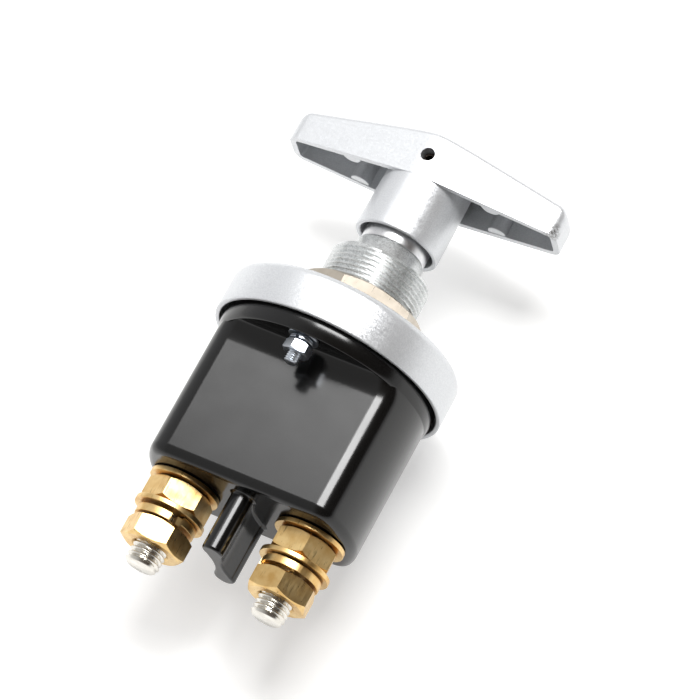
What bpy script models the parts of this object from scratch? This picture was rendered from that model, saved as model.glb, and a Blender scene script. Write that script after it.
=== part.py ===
"""Single-pole battery master switch for a panel.

Lengths are in millimetres and angles in degrees until a mesh is made. Each piece is modelled in the
switch's own frame: z runs along the switch from the terminals to the handle, with z = 0 on the face of
the flange that meets the panel, and y is square to the housing's flats. An empty then lays the switch
down as it sits in an upright panel, with the handle towards -Y and one flat facing up.
"""

import math

import bmesh
import bpy
from mathutils import Matrix

MM = 0.001
GAP = 0.3  # between pieces that touch
RUNNING_GAP = 0.35  # between pieces that slide or turn
OVERLAP = 1.0  # how far cutters and joined shapes run past a face

# Flange cover and gasket
FLANGE_RADIUS = 35.0
FLANGE_DEPTH = 13.0
FLANGE_EDGE = 2.5
FLANGE_OVERHANG = 3.0  # past the housing's round sides
COVER_WALL = 1.4
COVER_TOP = 2.6
COVER_RIM_EDGE = 0.35
SEAL_RING_MARGIN = 1.0  # from the nut's corners to the seal ring's groove in the panel face
SEAL_RING_WIDTH = 2.0
SEAL_RING_DEPTH = 0.6
GASKET_THICKNESS = 1.0

# Spindle and its bush
SPINDLE_RADIUS = 6.0
SPINDLE_FLATS = 9.0
SPINDLE_CHAMFER = 0.6
COLLAR_STEP = 2.5
COLLAR_THICKNESS = 2.0
BUSH_WALL = 1.7
BUSH_SLEEVE_LENGTH = 13.7
BUSH_HEAD_INSET = 0.5  # inside the neck's radius
BUSH_HEAD_LENGTH = 7.7
SEAL_HEIGHT = 6.0
SEAL_GROOVE_DEPTH = 2.0

# Threaded boss, M30 x 1.5, and its nut
BOSS_RADIUS = 15.0
BOSS_LENGTH = 20.8
BOSS_FLANGE_INSET = 1.5  # inside the housing's radius
BOSS_FLANGE_THICKNESS = 5.0
NECK_WALL = 1.95
NECK_LENGTH = 5.2
PANEL_NUT_WALL = 3.0  # from the thread to a flat
PANEL_NUT_HEIGHT = 9.0
PANEL_NUT_TURN = 27.5
NUT_CONE = 30.0  # the chamfer's slope on every nut
NUT_FACE = 0.97  # the chamfer's inner edge, of the width across flats
THREAD_CHAMFER = 0.8

# T-handle
HANDLE_SPAN = 85.0
HANDLE_END_WIDTH = 12.0
HANDLE_UNDERSIDE = 46.2
HANDLE_END_HEIGHT = 9.2
HANDLE_PEAK_RISE = 5.1
HANDLE_PEAK_ROUND = 6.0
HANDLE_EDGE = 1.6
HANDLE_INNER_EDGE = 0.6
HANDLE_END_EDGE = 3.0
HANDLE_WALL = 2.0
HUB_STEP = 0.1  # the hub's radius inside the skirt's
SKIRT_CLEARANCE = 1.5  # round the bush
SKIRT_WALL = 1.5
SKIRT_LENGTH = 17.2
SKIRT_DRAFT = 0.2
HANDLE_BORE_DEPTH = 11.2
PAD_RADIUS = 3.0
PAD_X = 22.0
PAD_RECESS = 0.15  # above the handle's rim
PIN_RADIUS = 1.75
PIN_RECESS = 2.95  # inside the hub's surface
PIN_WALL = 0.55
PIN_SLOT = 30.0
PIN_HEIGHT = 6.9  # above the handle's underside

# Housing
HOUSING_FLAT = 18.0
HOUSING_CORNER = 4.5
HOUSING_LENGTH = 46.5  # below the cover's rim
HOUSING_WALL = 3.5
HOUSING_FLOOR = 10.0
HOUSING_EDGE = 3.0
CAVITY_CORNER = 2.0
LEDGE_DEPTH = 3.0  # below the cover's rim
LEDGE_FILLET = 3.5
LIP_PROUD = 0.6  # outside the housing's radius
LIP_WIDTH = 1.5
LIP_HEIGHT = 1.5

# Barrier between the terminals
FIN_DEPTH = 18.1
FIN_LENGTH = 23.4
FIN_BEAD_RADIUS = 3.25
FIN_BEAD_TURN = 40.0  # past the half turn, where the bead meets the web
FIN_WAIST = 3.0
FIN_SWELL = 0.3
FIN_SWELL_AT = 0.38  # of the way to the bead
FIN_EDGE = 0.8

# Terminals, M10
TERMINAL_INSET = 12.3  # from the housing's round side to a terminal's axis
STUD_RADIUS = 5.0
STUD_LENGTH = 27.0  # below the housing
STUD_HEAD_FLATS = 15.0
STUD_HEAD_HEIGHT = 4.0
TIP_STEP = 0.5  # a tip's radius inside the stud's
TIP_THICKNESS = 1.2
TERMINAL_NUT_WALL = 3.5
TERMINAL_NUT_HEIGHT = 7.0
WASHER_WIDTH = 5.45  # outside the stud
WASHER_THICKNESS = 1.4
LOCK_WASHER_WIDTH = 3.6
LOCK_WASHER_THICKNESS = 2.3
LOCK_WASHER_SPRING = 0.7
LOCK_WASHER_SPLIT = 12.0
NUT_TURNS = {"a": (24.3, 10.0), "b": (49.0, 42.0)}
LOCK_TURNS = {"a": 128.0, "b": 30.0}

# Cover screws, M4
SCREW_RADIUS = 2.0
SCREW_HEAD_STEP = 1.5
SCREW_HEAD_HEIGHT = 2.7
SCREW_CHAMFER = 0.4
SCREW_END = 9.0  # below the ledge
SCREW_WASHER_WIDTH = 2.5  # outside the screw
SCREW_WASHER_THICKNESS = 0.8
SCREW_LOCK_WIDTH = 1.3
SCREW_LOCK_THICKNESS = 0.9
SCREW_LOCK_SPRING = 0.25
SCREW_LOCK_SPLIT = 16.0
SCREW_LOCK_TURN = 90.0
SCREW_NUT_WALL = 1.5
SCREW_NUT_HEIGHT = 3.2
SCREW_NUT_TURN = 22.0

# Cam and moving contact
CAM_RADIUS = 12.3
CAM_BORE_CLEARANCE = 0.9  # round the spindle
CAM_PLATE = 3.0
CAM_RIM = 0.7  # the disc stands proud of its ramps
CAM_TURN = 90.0
CAM_LIFT = 4.0
CAM_RAMP_TURN = 179.0  # just short of half a turn
TOOTH_EASE = 3.0  # degrees that a tooth stops short of its quarter
CLIP_THICKNESS = 1.0
CLIP_GROOVE_DEPTH = 2.0
CLIP_GAP = 50.0
CLIP_LAND = 1.0  # past a clip's groove
CARRIER_LENGTH = 31.0
CARRIER_CORNER = 4.0
CARRIER_PLATE = 4.0
POST_RADIUS = 4.0
POST_GROOVE_DEPTH = 0.8
BRIDGE_WIDTH = 13.0
BRIDGE_THICKNESS = 3.0
BRIDGE_CORNER = 3.0
BRIDGE_CLIP_WIDTH = 2.5  # outside the post
CONTACT_SPRING_WIRE = 0.7
CONTACT_SPRING_TURNS = 3.5
RETURN_SPRING_WIRE = 0.5
RETURN_SPRING_CLEARANCE = 1.2
RETURN_SPRING_TURNS = 4.5

# Radii that follow from the sizes above
BORE_RADIUS = SPINDLE_RADIUS + RUNNING_GAP
SLEEVE_RADIUS = BORE_RADIUS + BUSH_WALL
COLLAR_RADIUS = SPINDLE_RADIUS + COLLAR_STEP
PANEL_NUT_FLATS = 2 * (BOSS_RADIUS + PANEL_NUT_WALL)
NECK_RADIUS = SLEEVE_RADIUS + GAP + NECK_WALL
BUSH_HEAD_RADIUS = NECK_RADIUS - BUSH_HEAD_INSET
SKIRT_RADIUS = BUSH_HEAD_RADIUS + SKIRT_CLEARANCE + SKIRT_WALL
HUB_RADIUS = SKIRT_RADIUS - HUB_STEP
PIN_LENGTH = 2 * (HUB_RADIUS - PIN_RECESS)
HOUSING_RADIUS = FLANGE_RADIUS - FLANGE_OVERHANG
BASE_RADIUS = HOUSING_RADIUS + LIP_PROUD
BOSS_FLANGE_RADIUS = HOUSING_RADIUS - BOSS_FLANGE_INSET
CAVITY_RADIUS = HOUSING_RADIUS - HOUSING_WALL
CAVITY_FLAT = HOUSING_FLAT - HOUSING_WALL
SCREW_Y = (HOUSING_FLAT + LEDGE_FILLET + BASE_RADIUS - LIP_WIDTH) / 2  # the middle of the ledge
TERMINAL_X = HOUSING_RADIUS - TERMINAL_INSET
TIP_RADIUS = STUD_RADIUS - TIP_STEP
CAM_BORE_RADIUS = SPINDLE_RADIUS + CAM_BORE_CLEARANCE
CLIP_GROOVE_RADIUS = SPINDLE_RADIUS - CLIP_GROOVE_DEPTH

# Heights that follow from the sizes above
NECK_TOP = BOSS_LENGTH + NECK_LENGTH
SKIRT_RIM = HANDLE_UNDERSIDE - SKIRT_LENGTH
PIN_Z = HANDLE_UNDERSIDE + PIN_HEIGHT
BORE_TOP = HANDLE_UNDERSIDE + HANDLE_BORE_DEPTH
BOSS_FLANGE_TOP = -COVER_TOP - GAP
BOSS_FLANGE_BOTTOM = BOSS_FLANGE_TOP - BOSS_FLANGE_THICKNESS
GASKET_TOP = BOSS_FLANGE_BOTTOM - GAP
GASKET_BOTTOM = GASKET_TOP - GASKET_THICKNESS
HOUSING_TOP = GASKET_BOTTOM - GAP
LEDGE_Z = -FLANGE_DEPTH - LEDGE_DEPTH
HOUSING_BOTTOM = -FLANGE_DEPTH - HOUSING_LENGTH
FLOOR_Z = HOUSING_BOTTOM + HOUSING_FLOOR
COLLAR_TOP = BOSS_FLANGE_BOTTOM - GAP
COLLAR_BOTTOM = COLLAR_TOP - COLLAR_THICKNESS
CAM_TOP = COLLAR_BOTTOM - GAP
RAMP_TOP = CAM_TOP - CAM_PLATE
RAMP_BOTTOM = RAMP_TOP - 2 * CAM_LIFT
CARRIER_TOP = RAMP_BOTTOM - RUNNING_GAP
CARRIER_BOTTOM = CARRIER_TOP - CARRIER_PLATE
STUD_HEAD_TOP = FLOOR_Z + GAP + STUD_HEAD_HEIGHT
STUD_TIP_TOP = STUD_HEAD_TOP + GAP + TIP_THICKNESS
BRIDGE_TIP_BOTTOM = STUD_TIP_TOP + GAP + CAM_LIFT
BRIDGE_TIP_TOP = BRIDGE_TIP_BOTTOM + TIP_THICKNESS
BRIDGE_BOTTOM = BRIDGE_TIP_TOP + GAP
BRIDGE_TOP = BRIDGE_BOTTOM + BRIDGE_THICKNESS
BRIDGE_CLIP_TOP = BRIDGE_BOTTOM - GAP
BRIDGE_CLIP_BOTTOM = BRIDGE_CLIP_TOP - CLIP_THICKNESS

SILVER_PAINT = ((0.74, 0.75, 0.76), 0.35, 0.6)
CAST_ZINC = ((0.62, 0.62, 0.60), 0.45, 1.0)
NICKEL = ((0.78, 0.74, 0.68), 0.18, 1.0)
ZINC_PLATE = ((0.72, 0.74, 0.78), 0.25, 1.0)
BRASS = ((0.72, 0.52, 0.24), 0.28, 1.0)
TIN = ((0.80, 0.78, 0.75), 0.3, 1.0)
STEEL = ((0.55, 0.56, 0.58), 0.3, 1.0)
COPPER = ((0.72, 0.38, 0.24), 0.3, 1.0)
SILVER = ((0.85, 0.85, 0.84), 0.25, 1.0)
PHENOLIC = ((0.012, 0.012, 0.013), 0.15, 0.0)
NYLON = ((0.75, 0.73, 0.66), 0.5, 0.0)
RUBBER = ((0.03, 0.03, 0.03), 0.7, 0.0)


def clear_scene():
    for obj in list(bpy.data.objects):
        bpy.data.objects.remove(obj, do_unlink=True)


def collection(name, parent):
    group = bpy.data.collections.new(name)
    parent.children.link(group)
    return group


def finish(name, finish_values):
    colour, roughness, metallic = finish_values
    material = bpy.data.materials.new(name)
    material.use_nodes = True
    shader = material.node_tree.nodes["Principled BSDF"]
    shader.inputs["Base Color"].default_value = (*colour, 1.0)
    shader.inputs["Roughness"].default_value = roughness
    shader.inputs["Metallic"].default_value = metallic
    return material


def empty(name, parent=None):
    holder = bpy.data.objects.new(name, None)
    bpy.context.scene.collection.objects.link(holder)
    holder.parent = parent
    return holder


def piece(name, mesh, parent, values, at=(0.0, 0.0, 0.0), turn=0.0):
    """A part of the switch, at a place given in millimetres under its parent."""
    obj = bpy.data.objects.new(name, mesh)
    parts.objects.link(obj)
    obj.parent = parent
    obj.location = [MM * value for value in at]
    obj.rotation_euler.z = math.radians(turn)
    obj.data.materials.append(finish(name, values))
    return obj


def tool(mesh, part, at=(0.0, 0.0, 0.0)):
    """A shape that only cuts or joins a part, in that part's own frame."""
    obj = bpy.data.objects.new(f"tool_{part.name}", mesh)
    cutters.objects.link(obj)
    obj.parent = part
    obj.location = [MM * value for value in at]
    obj.hide_render = True
    obj.display_type = "WIRE"
    return obj


def combine(part, operation, mesh, at=(0.0, 0.0, 0.0)):
    step = part.modifiers.new(operation.lower(), "BOOLEAN")
    step.operation = operation
    step.solver = "EXACT"
    step.object = tool(mesh, part, at)


def cut(part, mesh, at=(0.0, 0.0, 0.0)):
    combine(part, "DIFFERENCE", mesh, at)


def join(part, mesh, at=(0.0, 0.0, 0.0)):
    combine(part, "UNION", mesh, at)


def trim(part, mesh, at=(0.0, 0.0, 0.0)):
    combine(part, "INTERSECT", mesh, at)


def arc(centre, radius, start, end, steps):
    """Points from one angle to another round a centre."""
    points = []
    for step in range(steps + 1):
        angle = math.radians(start + (end - start) * step / steps)
        points.append((centre[0] + radius * math.cos(angle), centre[1] + radius * math.sin(angle)))
    return points


def circle(radius, steps=32):
    return arc((0.0, 0.0), radius, 0.0, 360.0 - 360.0 / steps, steps - 1)


def hexagon(flats):
    return arc((0.0, 0.0), flats / math.sqrt(3.0), 0.0, 300.0, 5)


def flatted_circle(radius, flat, corner, round_steps=8, corner_steps=3):
    """A circle with a flat on two sides, at y = +flat and -flat, and rounded corners."""
    corner_y = flat - corner
    corner_x = math.sqrt((radius - corner) ** 2 - corner_y**2)
    turn = math.degrees(math.atan2(corner_y, corner_x))
    points = arc((0.0, 0.0), radius, -turn, turn, round_steps)
    points += arc((corner_x, corner_y), corner, turn, 90.0, corner_steps)[1:]
    points += arc((-corner_x, corner_y), corner, 90.0, 180.0 - turn, corner_steps)
    points += arc((0.0, 0.0), radius, 180.0 - turn, 180.0 + turn, round_steps)[1:]
    points += arc((-corner_x, -corner_y), corner, 180.0 + turn, 270.0, corner_steps)[1:]
    points += arc((corner_x, -corner_y), corner, 270.0, 360.0 - turn, corner_steps)[:-1]
    return points


def rounded_box(length, width, corner, steps=4):
    x, y = length / 2 - corner, width / 2 - corner
    points = arc((x, y), corner, 0.0, 90.0, steps)
    points += arc((-x, y), corner, 90.0, 180.0, steps)
    points += arc((-x, -y), corner, 180.0, 270.0, steps)
    points += arc((x, -y), corner, 270.0, 360.0, steps)
    return points


def to_mesh(bm, name):
    bmesh.ops.recalc_face_normals(bm, faces=bm.faces)
    mesh = bpy.data.meshes.new(name)
    bm.to_mesh(mesh)
    bm.free()
    mesh.shade_smooth()
    mesh.set_sharp_from_angle(angle=math.radians(30.0))
    return mesh


def prism(outline, low, high):
    """A flat outline extruded from one height to another."""
    bm = bmesh.new()
    face = bm.faces.new([bm.verts.new((MM * x, MM * y, MM * low)) for x, y in outline])
    moved = bmesh.ops.extrude_face_region(bm, geom=[face])["geom"]
    verts = [item for item in moved if isinstance(item, bmesh.types.BMVert)]
    bmesh.ops.translate(bm, verts=verts, vec=(0.0, 0.0, MM * (high - low)))
    return to_mesh(bm, "prism")


def cylinder(radius, low, high, steps=32, along="z"):
    bm = bmesh.new()
    bmesh.ops.create_cone(
        bm, cap_ends=True, segments=steps, radius1=MM * radius, radius2=MM * radius, depth=MM * (high - low)
    )
    bmesh.ops.translate(bm, verts=bm.verts, vec=(0.0, 0.0, MM * (low + high) / 2))
    if along == "y":
        bmesh.ops.rotate(bm, verts=bm.verts, matrix=Matrix.Rotation(math.radians(-90.0), 3, "X"))
    return to_mesh(bm, "cylinder")


def loft(rings):
    """A skin over rings of points, all with the same count, closed by its first and last ring."""
    bm = bmesh.new()
    loops = [[bm.verts.new([MM * value for value in point]) for point in ring] for ring in rings]
    for near, far in zip(loops, loops[1:]):
        for index in range(len(near)):
            bm.faces.new((near[index - 1], near[index], far[index], far[index - 1]))
    bm.faces.new(loops[0])
    bm.faces.new(loops[-1])
    return to_mesh(bm, "loft")


def turned(profile, steps=36):
    """A profile of (radius, height) points turned round z. It runs down the outer side."""
    mesh = bpy.data.meshes.new("profile")
    count = len(profile)
    edges = [(index, index + 1) for index in range(count - 1)]
    if profile[0][0] > 0.0:
        edges.append((count - 1, 0))
    mesh.from_pydata([(MM * radius, 0.0, MM * height) for radius, height in profile], edges, [])
    obj = bpy.data.objects.new("profile", mesh)
    bpy.context.scene.collection.objects.link(obj)
    screw = obj.modifiers.new("screw", "SCREW")
    screw.steps = steps
    screw.render_steps = steps
    screw.use_merge_vertices = True
    screw.merge_threshold = 0.001 * MM
    evaluated = obj.evaluated_get(bpy.context.evaluated_depsgraph_get())
    bm = bmesh.new()
    bm.from_mesh(bpy.data.meshes.new_from_object(evaluated))
    bpy.data.objects.remove(obj)
    return to_mesh(bm, "turned")


def ring(inner, outer, low, high, steps=26):
    return turned([(outer, high), (outer, low), (inner, low), (inner, high)], steps)


def split_ring(inner, outer, thickness, rise, gap, steps=26):
    """A lock washer: a flat section swept round z from just past the split to just before it."""
    bm = bmesh.new()
    corners = [(inner, 0.0), (outer, 0.0), (outer, thickness), (inner, thickness)]
    face = bm.faces.new([bm.verts.new((MM * radius, 0.0, MM * height)) for radius, height in corners])
    bmesh.ops.spin(
        bm,
        geom=[face, *face.edges, *face.verts],
        axis=(0.0, 0.0, 1.0),
        angle=math.radians(360.0 - gap),
        dvec=(0.0, 0.0, MM * rise / steps),
        steps=steps,
    )
    return to_mesh(bm, "split_ring")


def open_clip(inner, outer, gap, steps=12):
    """The outline of a retaining clip."""
    outer_arc = arc((0.0, 0.0), outer, gap / 2, 360.0 - gap / 2, steps)
    inner_arc = arc((0.0, 0.0), inner, 360.0 - gap / 2, gap / 2, steps)
    return outer_arc + inner_arc


def ramp(base, start_height, end_height, start, turn, steps=16):
    """A helical step between the cam's radii, from a flat base to a face that climbs clockwise."""
    rings = []
    for step in range(steps + 1):
        share = step / steps
        angle = -math.radians(start + turn * share)
        height = start_height + (end_height - start_height) * share
        inner, outer = CAM_BORE_RADIUS, CAM_RADIUS
        section = [(inner, base), (outer, base), (outer, height), (inner, height)]
        rings.append([(radius * math.cos(angle), radius * math.sin(angle), z) for radius, z in section])
    return loft(rings)


def coil(name, parent, values, radius, wire, low, high, turns):
    """A compression spring of round wire, between two heights."""
    curve = bpy.data.curves.new(name, "CURVE")
    curve.dimensions = "3D"
    curve.bevel_depth = MM * wire
    curve.bevel_resolution = 2
    curve.use_fill_caps = True
    count = int(turns * 9) + 1
    line = curve.splines.new("POLY")
    line.points.add(count - 1)
    for index, vertex in enumerate(line.points):
        share = index / (count - 1)
        angle = math.tau * turns * share
        height = low + wire + (high - low - 2 * wire) * share
        vertex.co = (MM * radius * math.cos(angle), MM * radius * math.sin(angle), MM * height, 1.0)
    return piece(name, curve, parent, values)


def hex_nut(name, values, flats, low, high, bore, at, turn, steps):
    """A nut whose corners are chamfered by a cone at each end."""
    nut = piece(name, prism(hexagon(flats), low, high), case, values, at, turn)
    slope = math.tan(math.radians(NUT_CONE))
    face = NUT_FACE * flats / 2
    wide = flats / math.sqrt(3.0) + GAP
    narrow = face - OVERLAP / slope
    drop = slope * (wide - face)
    outside = [(0.0, high + OVERLAP), (narrow, high + OVERLAP), (wide, high - drop)]
    outside += [(wide, low + drop), (narrow, low - OVERLAP), (0.0, low - OVERLAP)]
    trim(nut, turned(outside, steps))
    cut(nut, cylinder(bore, low - OVERLAP, high + OVERLAP, steps))


# ---- cover, boss and panel nut ----


def make_cover():
    edge = arc((FLANGE_RADIUS - FLANGE_EDGE, -FLANGE_EDGE), FLANGE_EDGE, 90.0, 0.0, 3)
    hole = BOSS_RADIUS + GAP
    seal_inner = PANEL_NUT_FLATS / math.sqrt(3.0) + SEAL_RING_MARGIN
    seal_outer = seal_inner + SEAL_RING_WIDTH
    inner = FLANGE_RADIUS - COVER_WALL
    rim = COVER_RIM_EDGE
    profile = [(hole, 0.0), (seal_inner, 0.0), (seal_inner, -SEAL_RING_DEPTH)]
    profile += [(seal_outer, -SEAL_RING_DEPTH), (seal_outer, 0.0), *edge]
    profile += [(FLANGE_RADIUS, rim - FLANGE_DEPTH), (FLANGE_RADIUS - rim, -FLANGE_DEPTH)]
    profile += [(inner + rim, -FLANGE_DEPTH), (inner, rim - FLANGE_DEPTH), (inner, -COVER_TOP)]
    profile.append((hole, -COVER_TOP))
    piece("flange_cover", turned(profile, 44), case, SILVER_PAINT)


def make_boss():
    counterbore = SLEEVE_RADIUS + GAP
    shoulder = NECK_TOP - BUSH_SLEEVE_LENGTH - GAP
    profile = [(NECK_RADIUS, NECK_TOP), (NECK_RADIUS, BOSS_LENGTH)]
    profile += [(BOSS_RADIUS - THREAD_CHAMFER, BOSS_LENGTH), (BOSS_RADIUS, BOSS_LENGTH - THREAD_CHAMFER)]
    profile.append((BOSS_RADIUS, BOSS_FLANGE_TOP))
    profile += [(BOSS_FLANGE_RADIUS, BOSS_FLANGE_TOP), (BOSS_FLANGE_RADIUS, BOSS_FLANGE_BOTTOM)]
    profile += [(BORE_RADIUS, BOSS_FLANGE_BOTTOM), (BORE_RADIUS, shoulder)]
    profile += [(counterbore, shoulder), (counterbore, NECK_TOP)]
    boss = piece("threaded_boss", turned(profile, 34), case, CAST_ZINC)
    hole = cylinder(SCREW_RADIUS + GAP, BOSS_FLANGE_BOTTOM - OVERLAP, BOSS_FLANGE_TOP + OVERLAP, 16)
    head_seat = BOSS_FLANGE_TOP - SCREW_HEAD_HEIGHT - 2 * GAP
    head_hole = cylinder(SCREW_RADIUS + SCREW_HEAD_STEP + GAP, head_seat, BOSS_FLANGE_TOP + OVERLAP, 20)
    for side in (1, -1):
        place = (0.0, side * SCREW_Y, 0.0)
        cut(boss, hole, place)
        cut(boss, head_hole, place)


def make_gasket():
    outline = circle(BASE_RADIUS - GAP, 48)
    gasket = piece("cover_gasket", prism(outline, GASKET_BOTTOM, GASKET_TOP), case, RUBBER)
    low, high = GASKET_BOTTOM - OVERLAP, GASKET_TOP + OVERLAP
    cut(gasket, prism(flatted_circle(CAVITY_RADIUS - GAP, CAVITY_FLAT - GAP, CAVITY_CORNER), low, high))
    for side in (1, -1):
        cut(gasket, cylinder(SCREW_RADIUS + GAP, low, high, 16), (0.0, side * SCREW_Y, 0.0))


def make_bush():
    head_low = NECK_TOP + GAP
    head_top = head_low + BUSH_HEAD_LENGTH
    sleeve_low = NECK_TOP - BUSH_SLEEVE_LENGTH
    profile = [(BUSH_HEAD_RADIUS, head_top), (BUSH_HEAD_RADIUS, head_low), (SLEEVE_RADIUS, head_low)]
    profile += [(SLEEVE_RADIUS, sleeve_low), (BORE_RADIUS, sleeve_low), (BORE_RADIUS, head_top)]
    piece("spindle_bush", turned(profile, 28), case, NICKEL)


def make_panel_nut():
    bore = BOSS_RADIUS + GAP
    high = GAP + PANEL_NUT_HEIGHT
    hex_nut("panel_nut", NICKEL, PANEL_NUT_FLATS, GAP, high, bore, (0.0, 0.0, 0.0), PANEL_NUT_TURN, 36)


# ---- housing ----


def housing_section(height, inset, flare=0.0):
    outline = flatted_circle(HOUSING_RADIUS - inset, HOUSING_FLAT - inset + flare, HOUSING_CORNER - inset)
    return [(x, y, height) for x, y in outline]


def fin_section(height, inset):
    """Round beads at both ends and a waisted web between them."""
    bead = FIN_BEAD_RADIUS - inset
    waist = FIN_WAIST / 2 - inset
    swell = waist + FIN_SWELL
    centre = FIN_LENGTH / 2 - FIN_BEAD_RADIUS
    neck = FIN_SWELL_AT * centre
    outline = arc((0.0, centre), bead, -FIN_BEAD_TURN, 180.0 + FIN_BEAD_TURN, 10)
    outline += [(-swell, neck), (-waist, 0.0), (-swell, -neck)]
    outline += arc((0.0, -centre), bead, 180.0 - FIN_BEAD_TURN, 360.0 + FIN_BEAD_TURN, 10)
    outline += [(swell, -neck), (waist, 0.0), (swell, neck)]
    return [(x, y, height) for x, y in outline]


def housing_skin():
    """From the rounded bottom edge to the fillets that run out into the ledges."""
    sections = []
    for angle in (0.0, 30.0, 60.0, 90.0):
        inset = HOUSING_EDGE * (1.0 - math.sin(math.radians(angle)))
        rise = HOUSING_EDGE * (1.0 - math.cos(math.radians(angle)))
        sections.append(housing_section(HOUSING_BOTTOM + rise, inset))
    for angle in (0.0, 30.0, 60.0, 90.0):
        flare = LEDGE_FILLET * (1.0 - math.cos(math.radians(angle)))
        height = LEDGE_Z - LEDGE_FILLET * (1.0 - math.sin(math.radians(angle)))
        sections.append(housing_section(height, 0.0, flare))
    sections.append(housing_section((LEDGE_Z + HOUSING_TOP) / 2, 0.0, LEDGE_FILLET))
    return loft(sections)


def make_housing():
    housing = piece("housing", housing_skin(), case, PHENOLIC)

    round_off = LIP_WIDTH / 2
    base = [(0.0, HOUSING_TOP), (BASE_RADIUS, HOUSING_TOP)]
    base += arc((BASE_RADIUS - round_off, LEDGE_Z - LIP_HEIGHT + round_off), round_off, 0.0, -180.0, 4)
    base += [(BASE_RADIUS - LIP_WIDTH, LEDGE_Z), (0.0, LEDGE_Z)]
    join(housing, turned(base, 48))

    fin_low = HOUSING_BOTTOM - FIN_DEPTH
    rings = [fin_section(HOUSING_BOTTOM + HOUSING_EDGE, 0.0), fin_section(fin_low + FIN_EDGE, 0.0)]
    for angle in (45.0, 90.0):
        inset = FIN_EDGE * (1.0 - math.cos(math.radians(angle)))
        rings.append(fin_section(fin_low + FIN_EDGE * (1.0 - math.sin(math.radians(angle))), inset))
    join(housing, loft(rings))

    cavity = flatted_circle(CAVITY_RADIUS, CAVITY_FLAT, CAVITY_CORNER)
    cut(housing, prism(cavity, FLOOR_Z, HOUSING_TOP + OVERLAP))
    stud_hole = cylinder(STUD_RADIUS + GAP, HOUSING_BOTTOM - OVERLAP, FLOOR_Z + OVERLAP, 28)
    screw_hole = cylinder(SCREW_RADIUS + GAP, LEDGE_Z - LEDGE_DEPTH, HOUSING_TOP + OVERLAP, 16)
    for side in (1, -1):
        cut(housing, stud_hole, (side * TERMINAL_X, 0.0, 0.0))
        cut(housing, screw_hole, (0.0, side * SCREW_Y, 0.0))


# ---- terminals and cover screws ----


def make_stud(label, place):
    end = HOUSING_BOTTOM - STUD_LENGTH
    head_low = FLOOR_Z + GAP
    shank = [(0.0, head_low + OVERLAP), (STUD_RADIUS, head_low + OVERLAP)]
    shank += [(STUD_RADIUS, end + THREAD_CHAMFER), (STUD_RADIUS - THREAD_CHAMFER, end), (0.0, end)]
    stud = piece(f"terminal_stud_{label}", turned(shank, 28), case, TIN, place)
    join(stud, prism(hexagon(STUD_HEAD_FLATS), head_low, STUD_HEAD_TOP))
    tip = cylinder(TIP_RADIUS, STUD_HEAD_TOP + GAP, STUD_TIP_TOP, 20)
    piece(f"stud_tip_{label}", tip, case, SILVER, place)


def make_terminal(label, x):
    """Down the stud: washer, nut, washer for the cable lug, lock washer and nut."""
    place = (x, 0.0, 0.0)
    make_stud(label, place)
    bore = STUD_RADIUS + GAP
    outer = STUD_RADIUS + WASHER_WIDTH
    flats = 2 * (STUD_RADIUS + TERMINAL_NUT_WALL)
    inner_turn, outer_turn = NUT_TURNS[label]
    top = HOUSING_BOTTOM - GAP
    piece(f"base_washer_{label}", ring(bore, outer, top - WASHER_THICKNESS, top), case, BRASS, place)
    top -= WASHER_THICKNESS + GAP
    low = top - TERMINAL_NUT_HEIGHT
    hex_nut(f"inner_nut_{label}", BRASS, flats, low, top, bore, place, inner_turn, 24)
    top = low - GAP
    piece(f"lug_washer_{label}", ring(bore, outer, top - WASHER_THICKNESS, top), case, BRASS, place)
    top -= WASHER_THICKNESS + GAP
    low = top - LOCK_WASHER_THICKNESS - LOCK_WASHER_SPRING
    section = (LOCK_WASHER_THICKNESS, LOCK_WASHER_SPRING, LOCK_WASHER_SPLIT)
    lock = split_ring(bore, bore + LOCK_WASHER_WIDTH, *section)
    piece(f"spring_washer_{label}", lock, case, BRASS, (x, 0.0, low), LOCK_TURNS[label])
    top = low - GAP
    low = top - TERMINAL_NUT_HEIGHT
    hex_nut(f"outer_nut_{label}", BRASS, flats, low, top, bore, place, outer_turn, 24)


def make_cover_screw(label, side):
    """From inside the boss's flange: head, shank, washer, lock washer and nut."""
    y = side * SCREW_Y
    place = (0.0, y, 0.0)
    head_radius = SCREW_RADIUS + SCREW_HEAD_STEP
    head_top = BOSS_FLANGE_TOP - GAP
    head_low = head_top - SCREW_HEAD_HEIGHT
    end = LEDGE_Z - SCREW_END
    profile = [(0.0, head_top), (head_radius, head_top), (head_radius, head_low), (SCREW_RADIUS, head_low)]
    profile += [(SCREW_RADIUS, end + SCREW_CHAMFER), (SCREW_RADIUS - SCREW_CHAMFER, end), (0.0, end)]
    piece(f"cover_screw_{label}", turned(profile, 16), case, ZINC_PLATE, place)

    bore = SCREW_RADIUS + GAP
    flats = 2 * (SCREW_RADIUS + SCREW_NUT_WALL)
    top = LEDGE_Z - GAP
    washer = ring(bore, SCREW_RADIUS + SCREW_WASHER_WIDTH, top - SCREW_WASHER_THICKNESS, top, 16)
    piece(f"screw_washer_{label}", washer, case, ZINC_PLATE, place)
    top -= SCREW_WASHER_THICKNESS + GAP
    low = top - SCREW_LOCK_THICKNESS - SCREW_LOCK_SPRING
    section = (SCREW_LOCK_THICKNESS, SCREW_LOCK_SPRING, SCREW_LOCK_SPLIT)
    lock = split_ring(bore, bore + SCREW_LOCK_WIDTH, *section, 16)
    piece(f"screw_lock_washer_{label}", lock, case, ZINC_PLATE, (0.0, y, low), SCREW_LOCK_TURN)
    top = low - GAP
    low = top - SCREW_NUT_HEIGHT
    hex_nut(f"screw_nut_{label}", ZINC_PLATE, flats, low, top, bore, place, SCREW_NUT_TURN, 16)


# ---- handle and spindle ----


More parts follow.
